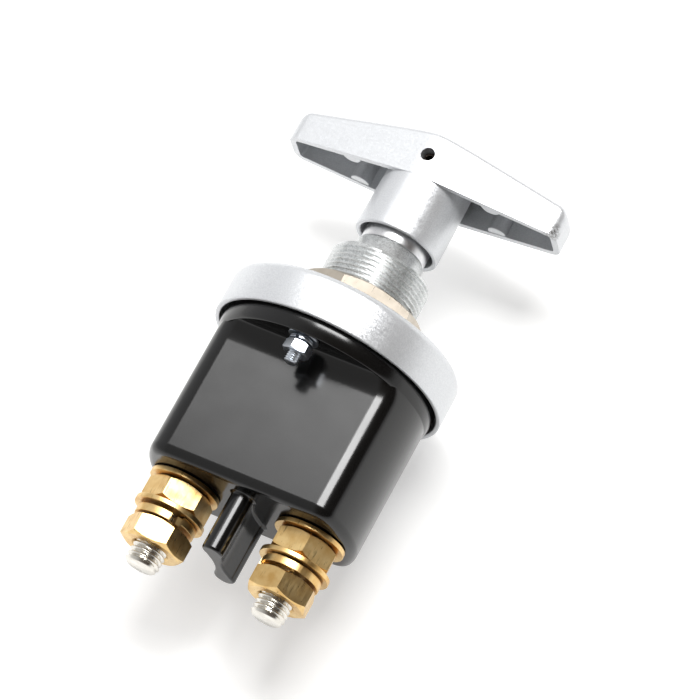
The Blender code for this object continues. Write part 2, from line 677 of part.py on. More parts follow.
def handle_top(x):
    """The roof's height, two slopes that meet in a round ridge."""
    fall = math.hypot(x, HANDLE_PEAK_ROUND) - HANDLE_PEAK_ROUND
    full_fall = math.hypot(HANDLE_SPAN / 2, HANDLE_PEAK_ROUND) - HANDLE_PEAK_ROUND
    return HANDLE_UNDERSIDE + HANDLE_END_HEIGHT + HANDLE_PEAK_RISE * (1.0 - fall / full_fall)


def handle_half_width(x):
    """Straight flanks that touch the hub's circle."""
    end_x, end_y = HANDLE_SPAN / 2, HANDLE_END_WIDTH / 2
    reach = math.hypot(end_x, end_y)
    lean = math.asin(HUB_RADIUS / reach) - math.atan2(end_y, end_x)
    touch = HUB_RADIUS * math.sin(lean)
    if x < touch:
        return math.sqrt(HUB_RADIUS**2 - x**2)
    return end_y + (end_x - x) * math.tan(lean)


def handle_body(inset, bottom, edge, end_edge):
    """The T-bar's outside, or its hollow when inset by the wall. Its rings crowd towards the ridge."""
    span = HANDLE_SPAN / 2 - inset
    straight = 0.8 * span
    steps = 7
    half = [(straight * (step / steps) ** 1.7, 0.0) for step in range(steps + 1)]
    for angle in (0.0, 30.0, 60.0, 90.0):
        x = span - end_edge * (1.0 - math.sin(math.radians(angle)))
        half.append((x, end_edge * (1.0 - math.cos(math.radians(angle)))))
    rings = []
    for x, pull in [(-x, pull) for x, pull in reversed(half[1:])] + half:
        y = handle_half_width(abs(x)) - inset - pull
        top = handle_top(x) - inset - pull
        section = [(y, bottom), *arc((y - edge, top - edge), edge, 0.0, 90.0, 3)]
        section += [*arc((edge - y, top - edge), edge, 90.0, 180.0, 3), (-y, bottom)]
        rings.append([(x, *corner) for corner in section])
    return loft(rings)


def pad_outline(side):
    """A half-round pad against an arm's wall, its flat back inside the wall."""
    outline = arc((0.0, 0.0), PAD_RADIUS, 180.0, 360.0, 8)
    outline += [(PAD_RADIUS, HANDLE_WALL / 2), (-PAD_RADIUS, HANDLE_WALL / 2)]
    return [(x, side * y) for x, y in outline]


def make_handle():
    """A die-cast bar, hollow below, over a round skirt that hides the bush."""
    body = handle_body(0.0, HANDLE_UNDERSIDE, HANDLE_EDGE, HANDLE_END_EDGE)
    handle = piece("t_handle", body, turning, SILVER_PAINT)
    inside_end = HANDLE_END_EDGE - HANDLE_WALL
    cut(handle, handle_body(HANDLE_WALL, HANDLE_UNDERSIDE - OVERLAP, HANDLE_INNER_EDGE, inside_end))

    top_radius = SKIRT_RADIUS - SKIRT_DRAFT
    hub_top = handle_top(0.0) - 0.8 * HANDLE_WALL
    hub = [(0.0, hub_top), (top_radius - HUB_STEP, hub_top), (top_radius, HANDLE_UNDERSIDE)]
    hub += [(SKIRT_RADIUS, SKIRT_RIM), (0.0, SKIRT_RIM)]
    join(handle, turned(hub, 40))

    wall_y = handle_half_width(PAD_X) - HANDLE_WALL
    pad_top = handle_top(PAD_X) - HANDLE_WALL / 2
    for side in (1, -1):
        pad = prism(pad_outline(side), HANDLE_UNDERSIDE + PAD_RECESS, pad_top - HANDLE_INNER_EDGE)
        for end in (1, -1):
            join(handle, pad, (end * PAD_X, side * wall_y, 0.0))

    inside = SKIRT_RADIUS - SKIRT_WALL
    inside_top = HANDLE_UNDERSIDE - OVERLAP
    bore = [(0.0, BORE_TOP), (BORE_RADIUS, BORE_TOP), (BORE_RADIUS, inside_top)]
    bore += [(inside - SKIRT_DRAFT, inside_top), (inside, SKIRT_RIM)]
    bore += [(inside, SKIRT_RIM - OVERLAP), (0.0, SKIRT_RIM - OVERLAP)]
    cut(handle, turned(bore, 36))
    reach = HUB_RADIUS + 2 * OVERLAP
    cut(handle, cylinder(PIN_RADIUS + GAP, -reach, reach, 20, "y"), (0.0, 0.0, PIN_Z))


def make_pin():
    """A slit roll pin that holds the handle on the spindle."""
    outline = open_clip(PIN_RADIUS - PIN_WALL, PIN_RADIUS, PIN_SLOT)
    pin = prism(outline, -PIN_LENGTH / 2, PIN_LENGTH / 2)
    pin.transform(Matrix.Rotation(math.radians(-90.0), 4, "X"))
    piece("handle_pin", pin, turning, STEEL, (0.0, 0.0, PIN_Z))


def groove(radius, depth, low, high):
    """A square groove in a turned profile, from its upper edge to its lower edge."""
    return [(radius, high), (radius - depth, high), (radius - depth, low), (radius, low)]


def make_spindle():
    """A shaft with a seal groove, a thrust collar, two flats for the cam and a clip groove."""
    wire = (RUNNING_GAP + SEAL_GROOVE_DEPTH) / 2 - GAP
    seal_half = wire + GAP
    clip_top = RAMP_TOP - GAP
    clip_low = clip_top - CLIP_THICKNESS
    end = clip_low - GAP - CLIP_LAND
    top = BORE_TOP - GAP
    profile = [(0.0, top), (SPINDLE_RADIUS - SPINDLE_CHAMFER, top), (SPINDLE_RADIUS, top - SPINDLE_CHAMFER)]
    profile += groove(SPINDLE_RADIUS, SEAL_GROOVE_DEPTH, SEAL_HEIGHT - seal_half, SEAL_HEIGHT + seal_half)
    profile += [(SPINDLE_RADIUS, COLLAR_TOP), (COLLAR_RADIUS, COLLAR_TOP), (COLLAR_RADIUS, COLLAR_BOTTOM)]
    profile += [(SPINDLE_RADIUS, COLLAR_BOTTOM)]
    profile += groove(SPINDLE_RADIUS, CLIP_GROOVE_DEPTH, clip_low - GAP, clip_top + GAP)
    profile += [(SPINDLE_RADIUS, end), (0.0, end)]
    spindle = piece("spindle", turned(profile, 24), turning, STEEL)
    wide = 2 * SPINDLE_RADIUS
    for side in (1, -1):
        near, far = side * SPINDLE_FLATS / 2, side * wide
        block = [(wide, near), (wide, far), (-wide, far), (-wide, near)]
        cut(spindle, prism(block, end - OVERLAP, COLLAR_BOTTOM))
    cut(spindle, cylinder(PIN_RADIUS + GAP, -wide, wide, 20, "y"), (0.0, 0.0, PIN_Z))

    seal_centre = SPINDLE_RADIUS + (RUNNING_GAP - SEAL_GROOVE_DEPTH) / 2
    section = arc((seal_centre, SEAL_HEIGHT), wire, 90.0, -210.0, 5)
    piece("spindle_seal", turned(section, 28), turning, RUBBER)

    clip = open_clip(CLIP_GROOVE_RADIUS + GAP, CAM_BORE_RADIUS - GAP, CLIP_GAP)
    piece("cam_clip", prism(clip, clip_low, clip_top), turning, STEEL)


# ---- cam and moving contact ----


def make_cam():
    """A disc with two ramps below it, each half a turn long."""
    rotor = piece("cam_rotor", cylinder(CAM_RADIUS + CAM_RIM, RAMP_TOP, CAM_TOP, 32), turning, NYLON)
    for start in (CAM_TURN, CAM_TURN + 180.0):
        join(rotor, ramp(RAMP_TOP + CAM_PLATE / 2, RAMP_BOTTOM, RAMP_TOP, start, CAM_RAMP_TURN))
    bore = flatted_circle(BORE_RADIUS, SPINDLE_FLATS / 2 + RUNNING_GAP, RUNNING_GAP)
    cut(rotor, prism(bore, RAMP_TOP - OVERLAP, CAM_TOP + OVERLAP))


def make_carrier():
    """A plate between the housing's flats, with two teeth that the cam pushes and a post below."""
    outline = rounded_box(CARRIER_LENGTH, 2 * (CAVITY_FLAT - RUNNING_GAP), CARRIER_CORNER)
    carrier = piece("contact_carrier", prism(outline, CARRIER_BOTTOM, CARRIER_TOP), sliding, NYLON)
    ease = TOOTH_EASE * CAM_LIFT / CAM_TURN
    low = RAMP_TOP - CAM_LIFT + ease - RUNNING_GAP
    high = RAMP_TOP - ease - RUNNING_GAP
    for start in (TOOTH_EASE, 180.0 + TOOTH_EASE):
        join(carrier, ramp(CARRIER_TOP - OVERLAP, low, high, start, CAM_TURN - 2 * TOOTH_EASE, 8))
    post_low = BRIDGE_CLIP_BOTTOM - GAP - CLIP_LAND
    post = [(0.0, CARRIER_BOTTOM + OVERLAP), (POST_RADIUS, CARRIER_BOTTOM + OVERLAP)]
    post += groove(POST_RADIUS, POST_GROOVE_DEPTH, BRIDGE_CLIP_BOTTOM - GAP, BRIDGE_CLIP_TOP + GAP)
    post += [(POST_RADIUS, post_low), (0.0, post_low)]
    join(carrier, turned(post, 24))

    clip = open_clip(POST_RADIUS - POST_GROOVE_DEPTH + GAP, POST_RADIUS + BRIDGE_CLIP_WIDTH, CLIP_GAP)
    piece("bridge_clip", prism(clip, BRIDGE_CLIP_BOTTOM, BRIDGE_CLIP_TOP), sliding, STEEL)


def make_bridge():
    outline = rounded_box(2 * (TERMINAL_X + TIP_RADIUS), BRIDGE_WIDTH, BRIDGE_CORNER)
    bridge = piece("contact_bridge", prism(outline, BRIDGE_BOTTOM, BRIDGE_TOP), sliding, COPPER)
    cut(bridge, cylinder(POST_RADIUS + GAP, BRIDGE_BOTTOM - OVERLAP, BRIDGE_TOP + OVERLAP, 24))
    for label, side in (("a", 1), ("b", -1)):
        tip = cylinder(TIP_RADIUS, BRIDGE_TIP_BOTTOM, BRIDGE_TIP_TOP, 20)
        piece(f"contact_tip_{label}", tip, sliding, SILVER, (side * TERMINAL_X, 0.0, 0.0))


def make_springs():
    radius = POST_RADIUS + GAP + 1.5 * CONTACT_SPRING_WIRE
    low, high = BRIDGE_TOP + GAP, CARRIER_BOTTOM - GAP
    coil("contact_spring", sliding, STEEL, radius, CONTACT_SPRING_WIRE, low, high, CONTACT_SPRING_TURNS)
    radius = POST_RADIUS + RETURN_SPRING_CLEARANCE
    low, high = FLOOR_Z + GAP, BRIDGE_CLIP_BOTTOM - GAP
    coil("return_spring", case, STEEL, radius, RETURN_SPRING_WIRE, low, high, RETURN_SPRING_TURNS)


clear_scene()
parts = collection("battery_switch", bpy.context.scene.collection)
cutters = collection("cutters", bpy.context.scene.collection)
case = empty("switch_axis")
case.rotation_euler.x = math.radians(90.0)
turning = empty("handle_axis", case)
sliding = empty("carrier_axis", case)

make_cover()
make_boss()
make_gasket()
make_bush()
make_panel_nut()
make_housing()
for terminal, place_x in (("a", TERMINAL_X), ("b", -TERMINAL_X)):
    make_terminal(terminal, place_x)
for screw_label, screw_side in (("a", 1), ("b", -1)):
    make_cover_screw(screw_label, screw_side)
make_handle()
make_pin()
make_spindle()
make_cam()
make_carrier()
make_bridge()
make_springs()
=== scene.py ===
# Looks of a panel battery switch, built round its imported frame.
# Everything is in metres in the frame's own axes: the handle is at -Y, the terminals at +Y.
import math

import bmesh
import bpy
from mathutils import Matrix, Vector


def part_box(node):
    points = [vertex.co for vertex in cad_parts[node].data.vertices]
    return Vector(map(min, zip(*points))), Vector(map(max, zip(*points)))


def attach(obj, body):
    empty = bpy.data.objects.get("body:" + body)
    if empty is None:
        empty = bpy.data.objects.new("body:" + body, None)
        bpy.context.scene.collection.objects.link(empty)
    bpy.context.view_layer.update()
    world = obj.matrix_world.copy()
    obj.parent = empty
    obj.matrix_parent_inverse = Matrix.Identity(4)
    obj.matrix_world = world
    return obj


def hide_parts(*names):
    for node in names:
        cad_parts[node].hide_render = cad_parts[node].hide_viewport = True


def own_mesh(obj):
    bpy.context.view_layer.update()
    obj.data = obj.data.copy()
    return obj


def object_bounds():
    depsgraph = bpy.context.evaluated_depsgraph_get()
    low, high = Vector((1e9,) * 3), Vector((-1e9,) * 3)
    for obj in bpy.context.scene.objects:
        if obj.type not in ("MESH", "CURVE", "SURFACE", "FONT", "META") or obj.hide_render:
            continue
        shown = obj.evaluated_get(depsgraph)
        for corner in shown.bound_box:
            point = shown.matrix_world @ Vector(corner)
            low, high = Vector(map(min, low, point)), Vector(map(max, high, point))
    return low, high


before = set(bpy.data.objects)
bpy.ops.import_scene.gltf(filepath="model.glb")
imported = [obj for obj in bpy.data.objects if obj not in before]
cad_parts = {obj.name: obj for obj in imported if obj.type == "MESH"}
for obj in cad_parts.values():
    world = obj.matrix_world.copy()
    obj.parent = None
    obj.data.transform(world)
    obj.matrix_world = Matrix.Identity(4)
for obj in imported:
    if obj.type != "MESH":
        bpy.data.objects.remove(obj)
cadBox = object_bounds()
mm = 0.001
tau = math.tau
# points nearer each other than this are merged
mergeGap = 0.000001


def clearSelection():
    if bpy.context.object and bpy.context.object.mode != "OBJECT":
        bpy.ops.object.mode_set(mode="OBJECT")
    bpy.ops.object.select_all(action="DESELECT")


def pick(piece):
    clearSelection()
    piece.select_set(True)
    bpy.context.view_layer.objects.active = piece


def nodeSpan(node):
    # centre, first y, last y and half width of a frame node
    low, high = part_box(node)
    return (low + high) / 2, low.y, high.y, (high.x - low.x) / 2


def arcPoints(centre, radius, start, end, steps):
    points = []
    for step in range(steps + 1):
        angle = math.radians(start + (end - start) * step / steps)
        points.append((centre[0] + radius * math.cos(angle), centre[1] + radius * math.sin(angle)))
    return points


def bandProfile(inner, outer, near, far, edge, steps=3):
    # a rectangle with round corners, from the inner bore outwards and back
    points = arcPoints((inner + edge, near + edge), edge, 180, 270, steps)
    points += arcPoints((outer - edge, near + edge), edge, 270, 360, steps)
    points += arcPoints((outer - edge, far - edge), edge, 0, 90, steps)
    points += arcPoints((inner + edge, far - edge), edge, 90, 180, steps)
    return points + points[:1]


def turnPiece(name, profile, sides, centre=(0.0, 0.0, 0.0)):
    # as on a lathe: a ring is drawn out along Y from point to point of (radius, y) and resized there
    clearSelection()
    middle = Vector((centre[0], 0.0, centre[2]))
    radius, y = profile[0]
    bpy.ops.mesh.primitive_circle_add(
        vertices=sides, radius=radius, location=(middle.x, y, middle.z), rotation=(math.pi / 2, 0, 0)
    )
    piece = bpy.context.object
    piece.name = name
    bpy.ops.object.transform_apply(location=True, rotation=True, scale=True)
    bpy.ops.object.mode_set(mode="EDIT")
    bpy.ops.mesh.select_all(action="SELECT")
    for nextRadius, nextY in profile[1:]:
        bpy.ops.mesh.extrude_region_move(TRANSFORM_OT_translate={"value": (0, nextY - y, 0)})
        share = nextRadius / radius
        bpy.ops.transform.resize(value=(share, 1, share), center_override=(middle.x, nextY, middle.z))
        radius, y = nextRadius, nextY
    bpy.ops.mesh.select_all(action="SELECT")
    bpy.ops.mesh.remove_doubles(threshold=mergeGap)
    bpy.ops.mesh.fill_holes(sides=0)
    bpy.ops.mesh.normals_make_consistent(inside=False)
    bpy.ops.object.mode_set(mode="OBJECT")
    return piece


def skinPiece(name, sections):
    # a skin over sections of points with one count, closed by the first and the last
    shape = bmesh.new()
    loops = [[shape.verts.new(point) for point in section] for section in sections]
    for near, far in zip(loops, loops[1:]):
        for index in range(len(near)):
            shape.faces.new((near[index - 1], near[index], far[index], far[index - 1]))
    shape.faces.new(loops[0])
    shape.faces.new(loops[-1])
    bmesh.ops.recalc_face_normals(shape, faces=shape.faces)
    mesh = bpy.data.meshes.new(name)
    shape.to_mesh(mesh)
    shape.free()
    piece = bpy.data.objects.new(name, mesh)
    bpy.context.scene.collection.objects.link(piece)
    return piece


def applyModifier(piece, kind, **settings):
    pick(piece)
    modifier = piece.modifiers.new(kind.title(), kind)
    for key, value in settings.items():
        setattr(modifier, key, value)
    bpy.ops.object.modifier_apply(modifier=modifier.name)


def carve(piece, cutter, operation="DIFFERENCE"):
    applyModifier(piece, "BOOLEAN", object=cutter, operation=operation, solver="EXACT")
    bpy.data.objects.remove(cutter)


# the groove's half width as a share of the pitch, and how exactly a point must lie on the wall to be moved
thread = {"halfGroove": 0.42, "wallGap": 0.02}


def cutThread(piece, centre, crest, depth, pitch, start, end, runOut):
    # every point of the wall is drawn in by how far it lies from the thread's crest
    for vertex in piece.data.vertices:
        x, y, z = vertex.co.x - centre[0], vertex.co.y, vertex.co.z - centre[2]
        radius = math.hypot(x, z)
        if abs(radius - crest) > thread["wallGap"] * mm or not start < y < end:
            continue
        phase = (y / pitch - math.atan2(z, x) / tau) % 1.0
        groove = max(0.0, 1.0 - abs(phase - 0.5) / thread["halfGroove"])
        fade = min(1.0, (y - start) / runOut, (end - y) / runOut)
        share = 1.0 - depth * groove * fade / radius
        vertex.co.x = centre[0] + x * share
        vertex.co.z = centre[2] + z * share


def threadRows(radius, start, end, pitch, rowsPerTurn=8):
    count = round((end - start) / pitch * rowsPerTurn)
    return [(radius, start + (end - start) * row / count) for row in range(count + 1)]


# over 50 the wide faces set the shading of the edges beside them
faceWeight = 80


def finishPiece(piece, nodes, body, material, smoothAngle, weighted=False):
    piece.name = nodes[0] + "_look"
    pick(piece)
    bpy.ops.object.shade_smooth_by_angle(angle=math.radians(smoothAngle))
    if weighted:
        applyModifier(piece, "WEIGHTED_NORMAL", keep_sharp=True, weight=faceWeight)
    piece.data.materials.clear()
    piece.data.materials.append(material)
    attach(piece, body)
    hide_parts(*nodes)


def hexColour(code):
    channels = [int(code[index : index + 2], 16) / 255 for index in (1, 3, 5)]
    linear = [value / 12.92 if value <= 0.04045 else ((value + 0.055) / 1.055) ** 2.4 for value in channels]
    return (*linear, 1.0)


def addNode(tree, kind, settings=None, links=None):
    # settings holds node properties and unlinked inputs, links holds an output socket for each input
    node = tree.nodes.new(kind)
    for key, value in (settings or {}).items():
        if key in node.inputs:
            node.inputs[key].default_value = value
        else:
            setattr(node, key, value)
    for key, socket in (links or {}).items():
        tree.links.new(socket, node.inputs[key])
    return node


def newMaterial(name, colour, metallic, roughness):
    # colour and roughness are the even values, which a link may replace
    material = bpy.data.materials.new(name)
    material.use_nodes = True
    tree = material.node_tree
    shader = tree.nodes["Principled BSDF"]
    shader.inputs["Base Color"].default_value = hexColour(colour)
    shader.inputs["Metallic"].default_value = metallic
    shader.inputs["Roughness"].default_value = roughness
    place = addNode(tree, "ShaderNodeTexCoord").outputs["Object"]
    return material, tree, shader, place


def addRamp(tree, factor, stops):
    node = addNode(tree, "ShaderNodeValToRGB", links={"Fac": factor})
    for index, (position, colour) in enumerate(stops):
        stop = node.color_ramp.elements[index] if index < 2 else node.color_ramp.elements.new(position)
        stop.position = position
        stop.color = hexColour(colour)
    return node.outputs["Color"]


def mixColour(tree, share, colour, other):
    # share 0 keeps the linked colour, share 1 gives the other
    mix = addNode(tree, "ShaderNodeMix", {"data_type": "RGBA"})
    tree.links.new(share, mix.inputs[0])
    tree.links.new(colour, mix.inputs[6])
    mix.inputs[7].default_value = hexColour(other)
    return mix.outputs[2]


def addRange(tree, value, low, high, fromLow=0.3, fromHigh=0.7):
    settings = {"From Min": fromLow, "From Max": fromHigh, "To Min": low, "To Max": high}
    return addNode(tree, "ShaderNodeMapRange", settings, {"Value": value}).outputs["Result"]


def grainOf(tree, place, size, detail=2.0, roughness=0.5):
    # noise whose features measure about size millimetres
    settings = {"Scale": 1.0 / (size * mm), "Detail": detail, "Roughness": roughness}
    return addNode(tree, "ShaderNodeTexNoise", settings, {"Vector": place}).outputs["Fac"]


def raiseSurface(tree, shader, height, depth):
    # depth is the relief's real height in millimetres
    settings = {"Strength": 1.0, "Distance": depth * mm}
    bump = addNode(tree, "ShaderNodeBump", settings, {"Height": height})
    tree.links.new(bump.outputs["Normal"], shader.inputs["Normal"])


# Aluminium-flake paint, sprayed on die-cast zinc: each flake tilts its own way, so the coat sparkles
# where light falls off. The coat is knocked off one corner of an arm and the casting shows.
silverPaint = {
    "light": "#DBDDDF", "dark": "#CFD1D4", "casting": "#6F6E6C", "metallic": 0.68, "evenRoughness": 0.42,
    "roughness": (0.4, 0.43), "cloud": 2.5, "flakeSize": 0.24, "tilt": 0.13,
    "chipAt": (-40.9, -47.4, 5.6), "chipSize": (1.2, 3.4), "chipGrain": 0.7, "chipEdge": (0.44, 0.56),
}


def makeSilverPaint():
    look = silverPaint
    material, tree, shader, place = newMaterial(
        "silverFlakePaint", look["light"], look["metallic"], look["evenRoughness"]
    )
    # real flakes are under 0.05 mm; they are drawn coarser so that the sparkle shows
    scale = 1.0 / (look["flakeSize"] * mm)
    cells = addNode(tree, "ShaderNodeTexVoronoi", {"Scale": scale}, {"Vector": place})
    flake = addNode(tree, "ShaderNodeSeparateColor", links={"Color": cells.outputs["Color"]}).outputs["Red"]
    coat = addRamp(tree, flake, ((0.0, look["dark"]), (1.0, look["light"])))
    away = addNode(tree, "ShaderNodeVectorMath", {"operation": "DISTANCE"}, {"Vector": place})
    away.inputs[1].default_value = [value * mm for value in look["chipAt"]]
    near = addRange(tree, away.outputs["Value"], 1.0, 0.0, *[value * mm for value in look["chipSize"]])
    ragged = grainOf(tree, place, look["chipGrain"], detail=4.0, roughness=0.7)
    worn = addNode(tree, "ShaderNodeMath", {"operation": "MULTIPLY"})
    tree.links.new(near, worn.inputs[0])
    tree.links.new(addRange(tree, ragged, 0.0, 1.0, *look["chipEdge"]), worn.inputs[1])
    colour = mixColour(tree, worn.outputs[0], coat, look["casting"])
    tree.links.new(colour, shader.inputs["Base Color"])
    cloud = grainOf(tree, place, look["cloud"], detail=3.0)
    tree.links.new(addRange(tree, cloud, *look["roughness"]), shader.inputs["Roughness"])
    # each cell's colour, taken from -0.5 to 0.5, leans the surface normal its own way
    cellColour = {"Vector": cells.outputs["Color"]}
    centred = addNode(tree, "ShaderNodeVectorMath", {"operation": "SUBTRACT"}, cellColour)
    centred.inputs[1].default_value = (0.5, 0.5, 0.5)
    tilt = addNode(tree, "ShaderNodeVectorMath", {"operation": "SCALE", "Scale": look["tilt"]})
    tree.links.new(centred.outputs["Vector"], tilt.inputs[0])
    surface = addNode(tree, "ShaderNodeNewGeometry").outputs["Normal"]
    leaned = addNode(tree, "ShaderNodeVectorMath", {"operation": "ADD"}, {"Vector": surface})
    tree.links.new(tilt.outputs["Vector"], leaned.inputs[1])
    summed = {"Vector": leaned.outputs["Vector"]}
    turned = addNode(tree, "ShaderNodeVectorMath", {"operation": "NORMALIZE"}, summed)
    tree.links.new(turned.outputs["Vector"], shader.inputs["Normal"])
    return material


# Zinc die casting with a cut thread, left bare: matte grey with brighter rubbed patches.
castZinc = {
    "light": "#D6D8D8", "dark": "#B4B6B6", "bright": "#EEF0F0", "metallic": 0.9, "evenRoughness": 0.42,
    "roughness": (0.3, 0.46), "patch": 0.5, "grit": 0.3, "depth": 0.012,
}


def makeCastZinc():
    look = castZinc
    material, tree, shader, place = newMaterial(
        "bareCastZinc", look["light"], look["metallic"], look["evenRoughness"]
    )
    patches = grainOf(tree, place, look["patch"], detail=4.0, roughness=0.6)
    colour = addRamp(tree, patches, ((0.3, look["dark"]), (0.5, look["light"]), (0.75, look["bright"])))
    tree.links.new(colour, shader.inputs["Base Color"])
    tree.links.new(addRange(tree, patches, *look["roughness"]), shader.inputs["Roughness"])
    raiseSurface(tree, shader, grainOf(tree, place, look["grit"], detail=3.0), look["depth"])
    return material


# the cloudiness of a plated metal in millimetres, and how far its roughness strays from the even value
plate = {"cloud": 3.5, "smoother": 0.85, "rougher": 1.2}


def makePlate(name, light, dark, roughness, streak, grain, depth=0.004):
    # a plated or turned metal: streak stretches its scratches along Y, grain is their width in millimetres
    material, tree, shader, place = newMaterial(name, light, 1.0, roughness)
    stretch = addNode(tree, "ShaderNodeMapping", {"Scale": (1.0, 1.0 / streak, 1.0)}, {"Vector": place})
    scratches = grainOf(tree, stretch.outputs["Vector"], grain, detail=3.0, roughness=0.6)
    cloud = grainOf(tree, place, plate["cloud"], detail=3.0)
    colour = addRamp(tree, cloud, ((0.3, dark), (0.62, light)))
    tree.links.new(colour, shader.inputs["Base Color"])
    spread = (plate["smoother"] * roughness, plate["rougher"] * roughness)
    tree.links.new(addRange(tree, scratches, *spread), shader.inputs["Roughness"])
    raiseSurface(tree, shader, scratches, depth)
    return material


# Free-cutting brass, machined and left bright: fine tool marks and small dark spots of tarnish.
brass = {
    "light": "#EACB90", "dark": "#D0A766", "tarnish": "#6B512C", "evenRoughness": 0.26,
    "roughness": (0.27, 0.42), "squeeze": 0.12, "toolMark": 0.35, "depth": 0.012, "cloud": 4.0,
    "spot": 0.7, "spotShare": 0.8, "spotEdge": (0.6, 0.74),
}


def makeBrass():
    look = brass
    material, tree, shader, place = newMaterial("machinedBrass", look["light"], 1.0, look["evenRoughness"])
    stretch = addNode(tree, "ShaderNodeMapping", {"Scale": (1.0, look["squeeze"], 1.0)}, {"Vector": place})
    toolMarks = grainOf(tree, stretch.outputs["Vector"], look["toolMark"], detail=3.0, roughness=0.6)
    cloud = grainOf(tree, place, look["cloud"], detail=3.0)
    colour = addRamp(tree, cloud, ((0.3, look["dark"]), (0.65, look["light"])))
    spots = grainOf(tree, stretch.outputs["Vector"], look["spot"], detail=4.0, roughness=0.6)
    spotted = addRange(tree, spots, 0.0, look["spotShare"], *look["spotEdge"])
    tree.links.new(mixColour(tree, spotted, colour, look["tarnish"]), shader.inputs["Base Color"])
    tree.links.new(addRange(tree, toolMarks, *look["roughness"]), shader.inputs["Roughness"])
    raiseSurface(tree, shader, toolMarks, look["depth"])
    return material


# Black phenolic, hot-moulded in a polished tool: deep gloss with a very faint waviness.
phenolic = {
    "colour": "#070707", "dust": "#0F0F0F", "evenRoughness": 0.14, "gloss": (0.16, 0.2), "smear": 9.0,
    "dustSize": 0.5, "waveSize": 2.2, "wave": 0.0012, "refraction": 1.5,
}


def makePhenolic():
    look = phenolic
    colour, roughness = look["colour"], look["evenRoughness"]
    material, tree, shader, place = newMaterial("mouldedPhenolic", colour, 0.0, roughness)
    smear = grainOf(tree, place, look["smear"], detail=4.0)
    tree.links.new(addRange(tree, smear, *look["gloss"]), shader.inputs["Roughness"])
    dust = grainOf(tree, place, look["dustSize"], detail=2.0)
    dusted = addRamp(tree, dust, ((0.3, colour), (0.72, look["dust"])))
    tree.links.new(dusted, shader.inputs["Base Color"])
    raiseSurface(tree, shader, grainOf(tree, place, look["waveSize"], detail=3.0), look["wave"])
    shader.inputs["IOR"].default_value = look["refraction"]
    return material


def makeMoulded(name, light, dark, roughness, grain, depth):
    # a moulded plastic or rubber with a fine matte grain
    material, tree, shader, place = newMaterial(name, light, 0.0, roughness)
    noise = grainOf(tree, place, grain, detail=3.0)
    tree.links.new(addRamp(tree, noise, ((0.3, dark), (0.7, light))), shader.inputs["Base Color"])
    raiseSurface(tree, shader, noise, depth)
    return material


print("materials")
paint = makeSilverPaint()
zincCasting = makeCastZinc()
# bright nickel over brass: mirror-like with a warm tint
nickel = makePlate(
    "brightNickel", "#C0B7AA", "#B5AC9E", roughness=0.32, streak=5.0, grain=0.4, depth=0.0
)
# the bush's nickel is ground and cooler
groundNickel = makePlate(
    "groundNickel", "#E2E2E3", "#D2D3D5", roughness=0.32, streak=1.0, grain=0.4, depth=0.0
)
# the roll pin's steel: nearly black-brown and dull
darkSteel = makePlate("darkPinSteel", "#4A443E", "#35302C", roughness=0.6, streak=1.0, grain=0.4)
# zinc plate with a clear blue passivate
bluePlate = makePlate(
    "blueZincPlate", "#D3D8DE", "#BFC6CF", roughness=0.32, streak=1.0, grain=0.4, depth=0.0
)
# electro-tinned copper: soft satin grey
tinPlate = makePlate("satinTin", "#E8E5DE", "#D3CFC6", roughness=0.22, streak=1.0, grain=0.5)
# ground carbon steel
groundSteel = makePlate("groundSteel", "#B5B8BC", "#94979B", roughness=0.28, streak=6.0, grain=0.3)
# hard-drawn copper bar
barCopper = makePlate("drawnCopper", "#D79777", "#B8745A", roughness=0.3, streak=5.0, grain=0.4)
# fine-silver contact facing
contactSilver = makePlate("contactSilver", "#EDEDEA", "#CFCFCA", roughness=0.26, streak=1.0, grain=0.3)
machinedBrass = makeBrass()
blackMoulding = makePhenolic()
# natural nylon: waxy off-white, moulded
naturalNylon = makeMoulded("naturalNylon", "#DAD5C4", "#CCC6B2", roughness=0.45, grain=0.8, depth=0.01)
# nitrile rubber: dull black with a fine bloom
blackRubber = makeMoulded("nitrileRubber", "#2A2A2B", "#1B1B1C", roughness=0.7, grain=0.3, depth=0.02)


cover = {
    "edge": 2.5, "edgeSteps": 8, "wall": 1.4, "top": 2.6, "rimEdge": 0.35, "rimSteps": 3, "hole": 15.3,
    "sealInner": 21.8, "sealOuter": 23.8, "sealDepth": 0.6, "sides": 192,
}


def makeCover():
    centre, front, rim, radius = nodeSpan("flange_cover")
    edge, lip, lipSteps = cover["edge"] * mm, cover["rimEdge"] * mm, cover["rimSteps"]
    inner = radius - cover["wall"] * mm
    hole = cover["hole"] * mm
    sealInner, sealOuter = cover["sealInner"] * mm, cover["sealOuter"] * mm
    topInside, sealFloor = front + cover["top"] * mm, front + cover["sealDepth"] * mm
    profile = [(hole, topInside), (hole, front), (sealInner, front), (sealInner, sealFloor)]
    profile += [(sealOuter, sealFloor), (sealOuter, front)]
    profile += arcPoints((radius - edge, front + edge), edge, -90, 0, cover["edgeSteps"])
    profile += arcPoints((radius - lip, rim - lip), lip, 0, 90, lipSteps)
    profile += arcPoints((inner + lip, rim - lip), lip, 90, 180, lipSteps)
    profile += arcPoints((inner - lip, topInside + lip), lip, 0, -90, lipSteps)
    profile.append(profile[0])
    piece = turnPiece("cover", profile, cover["sides"], centre)
    finishPiece(piece, ["flange_cover"], "case", paint, smoothAngle=35)


# the thread is cut from cutStart chamfers behind the front edge to cutEnd millimetres
boss = {
    "crest": 15.0, "pitch": 1.5, "depth": 0.92, "chamfer": 0.9, "wallEnd": -0.2, "cutStart": 0.3,
    "cutEnd": -0.1, "runOut": 0.8, "neck": 10.3, "neckLength": 5.2, "neckEdge": 0.4, "neckFoot": 0.6,
    "bore": 6.35, "flange": 30.5, "flangeTop": 2.9, "sides": 144,
}


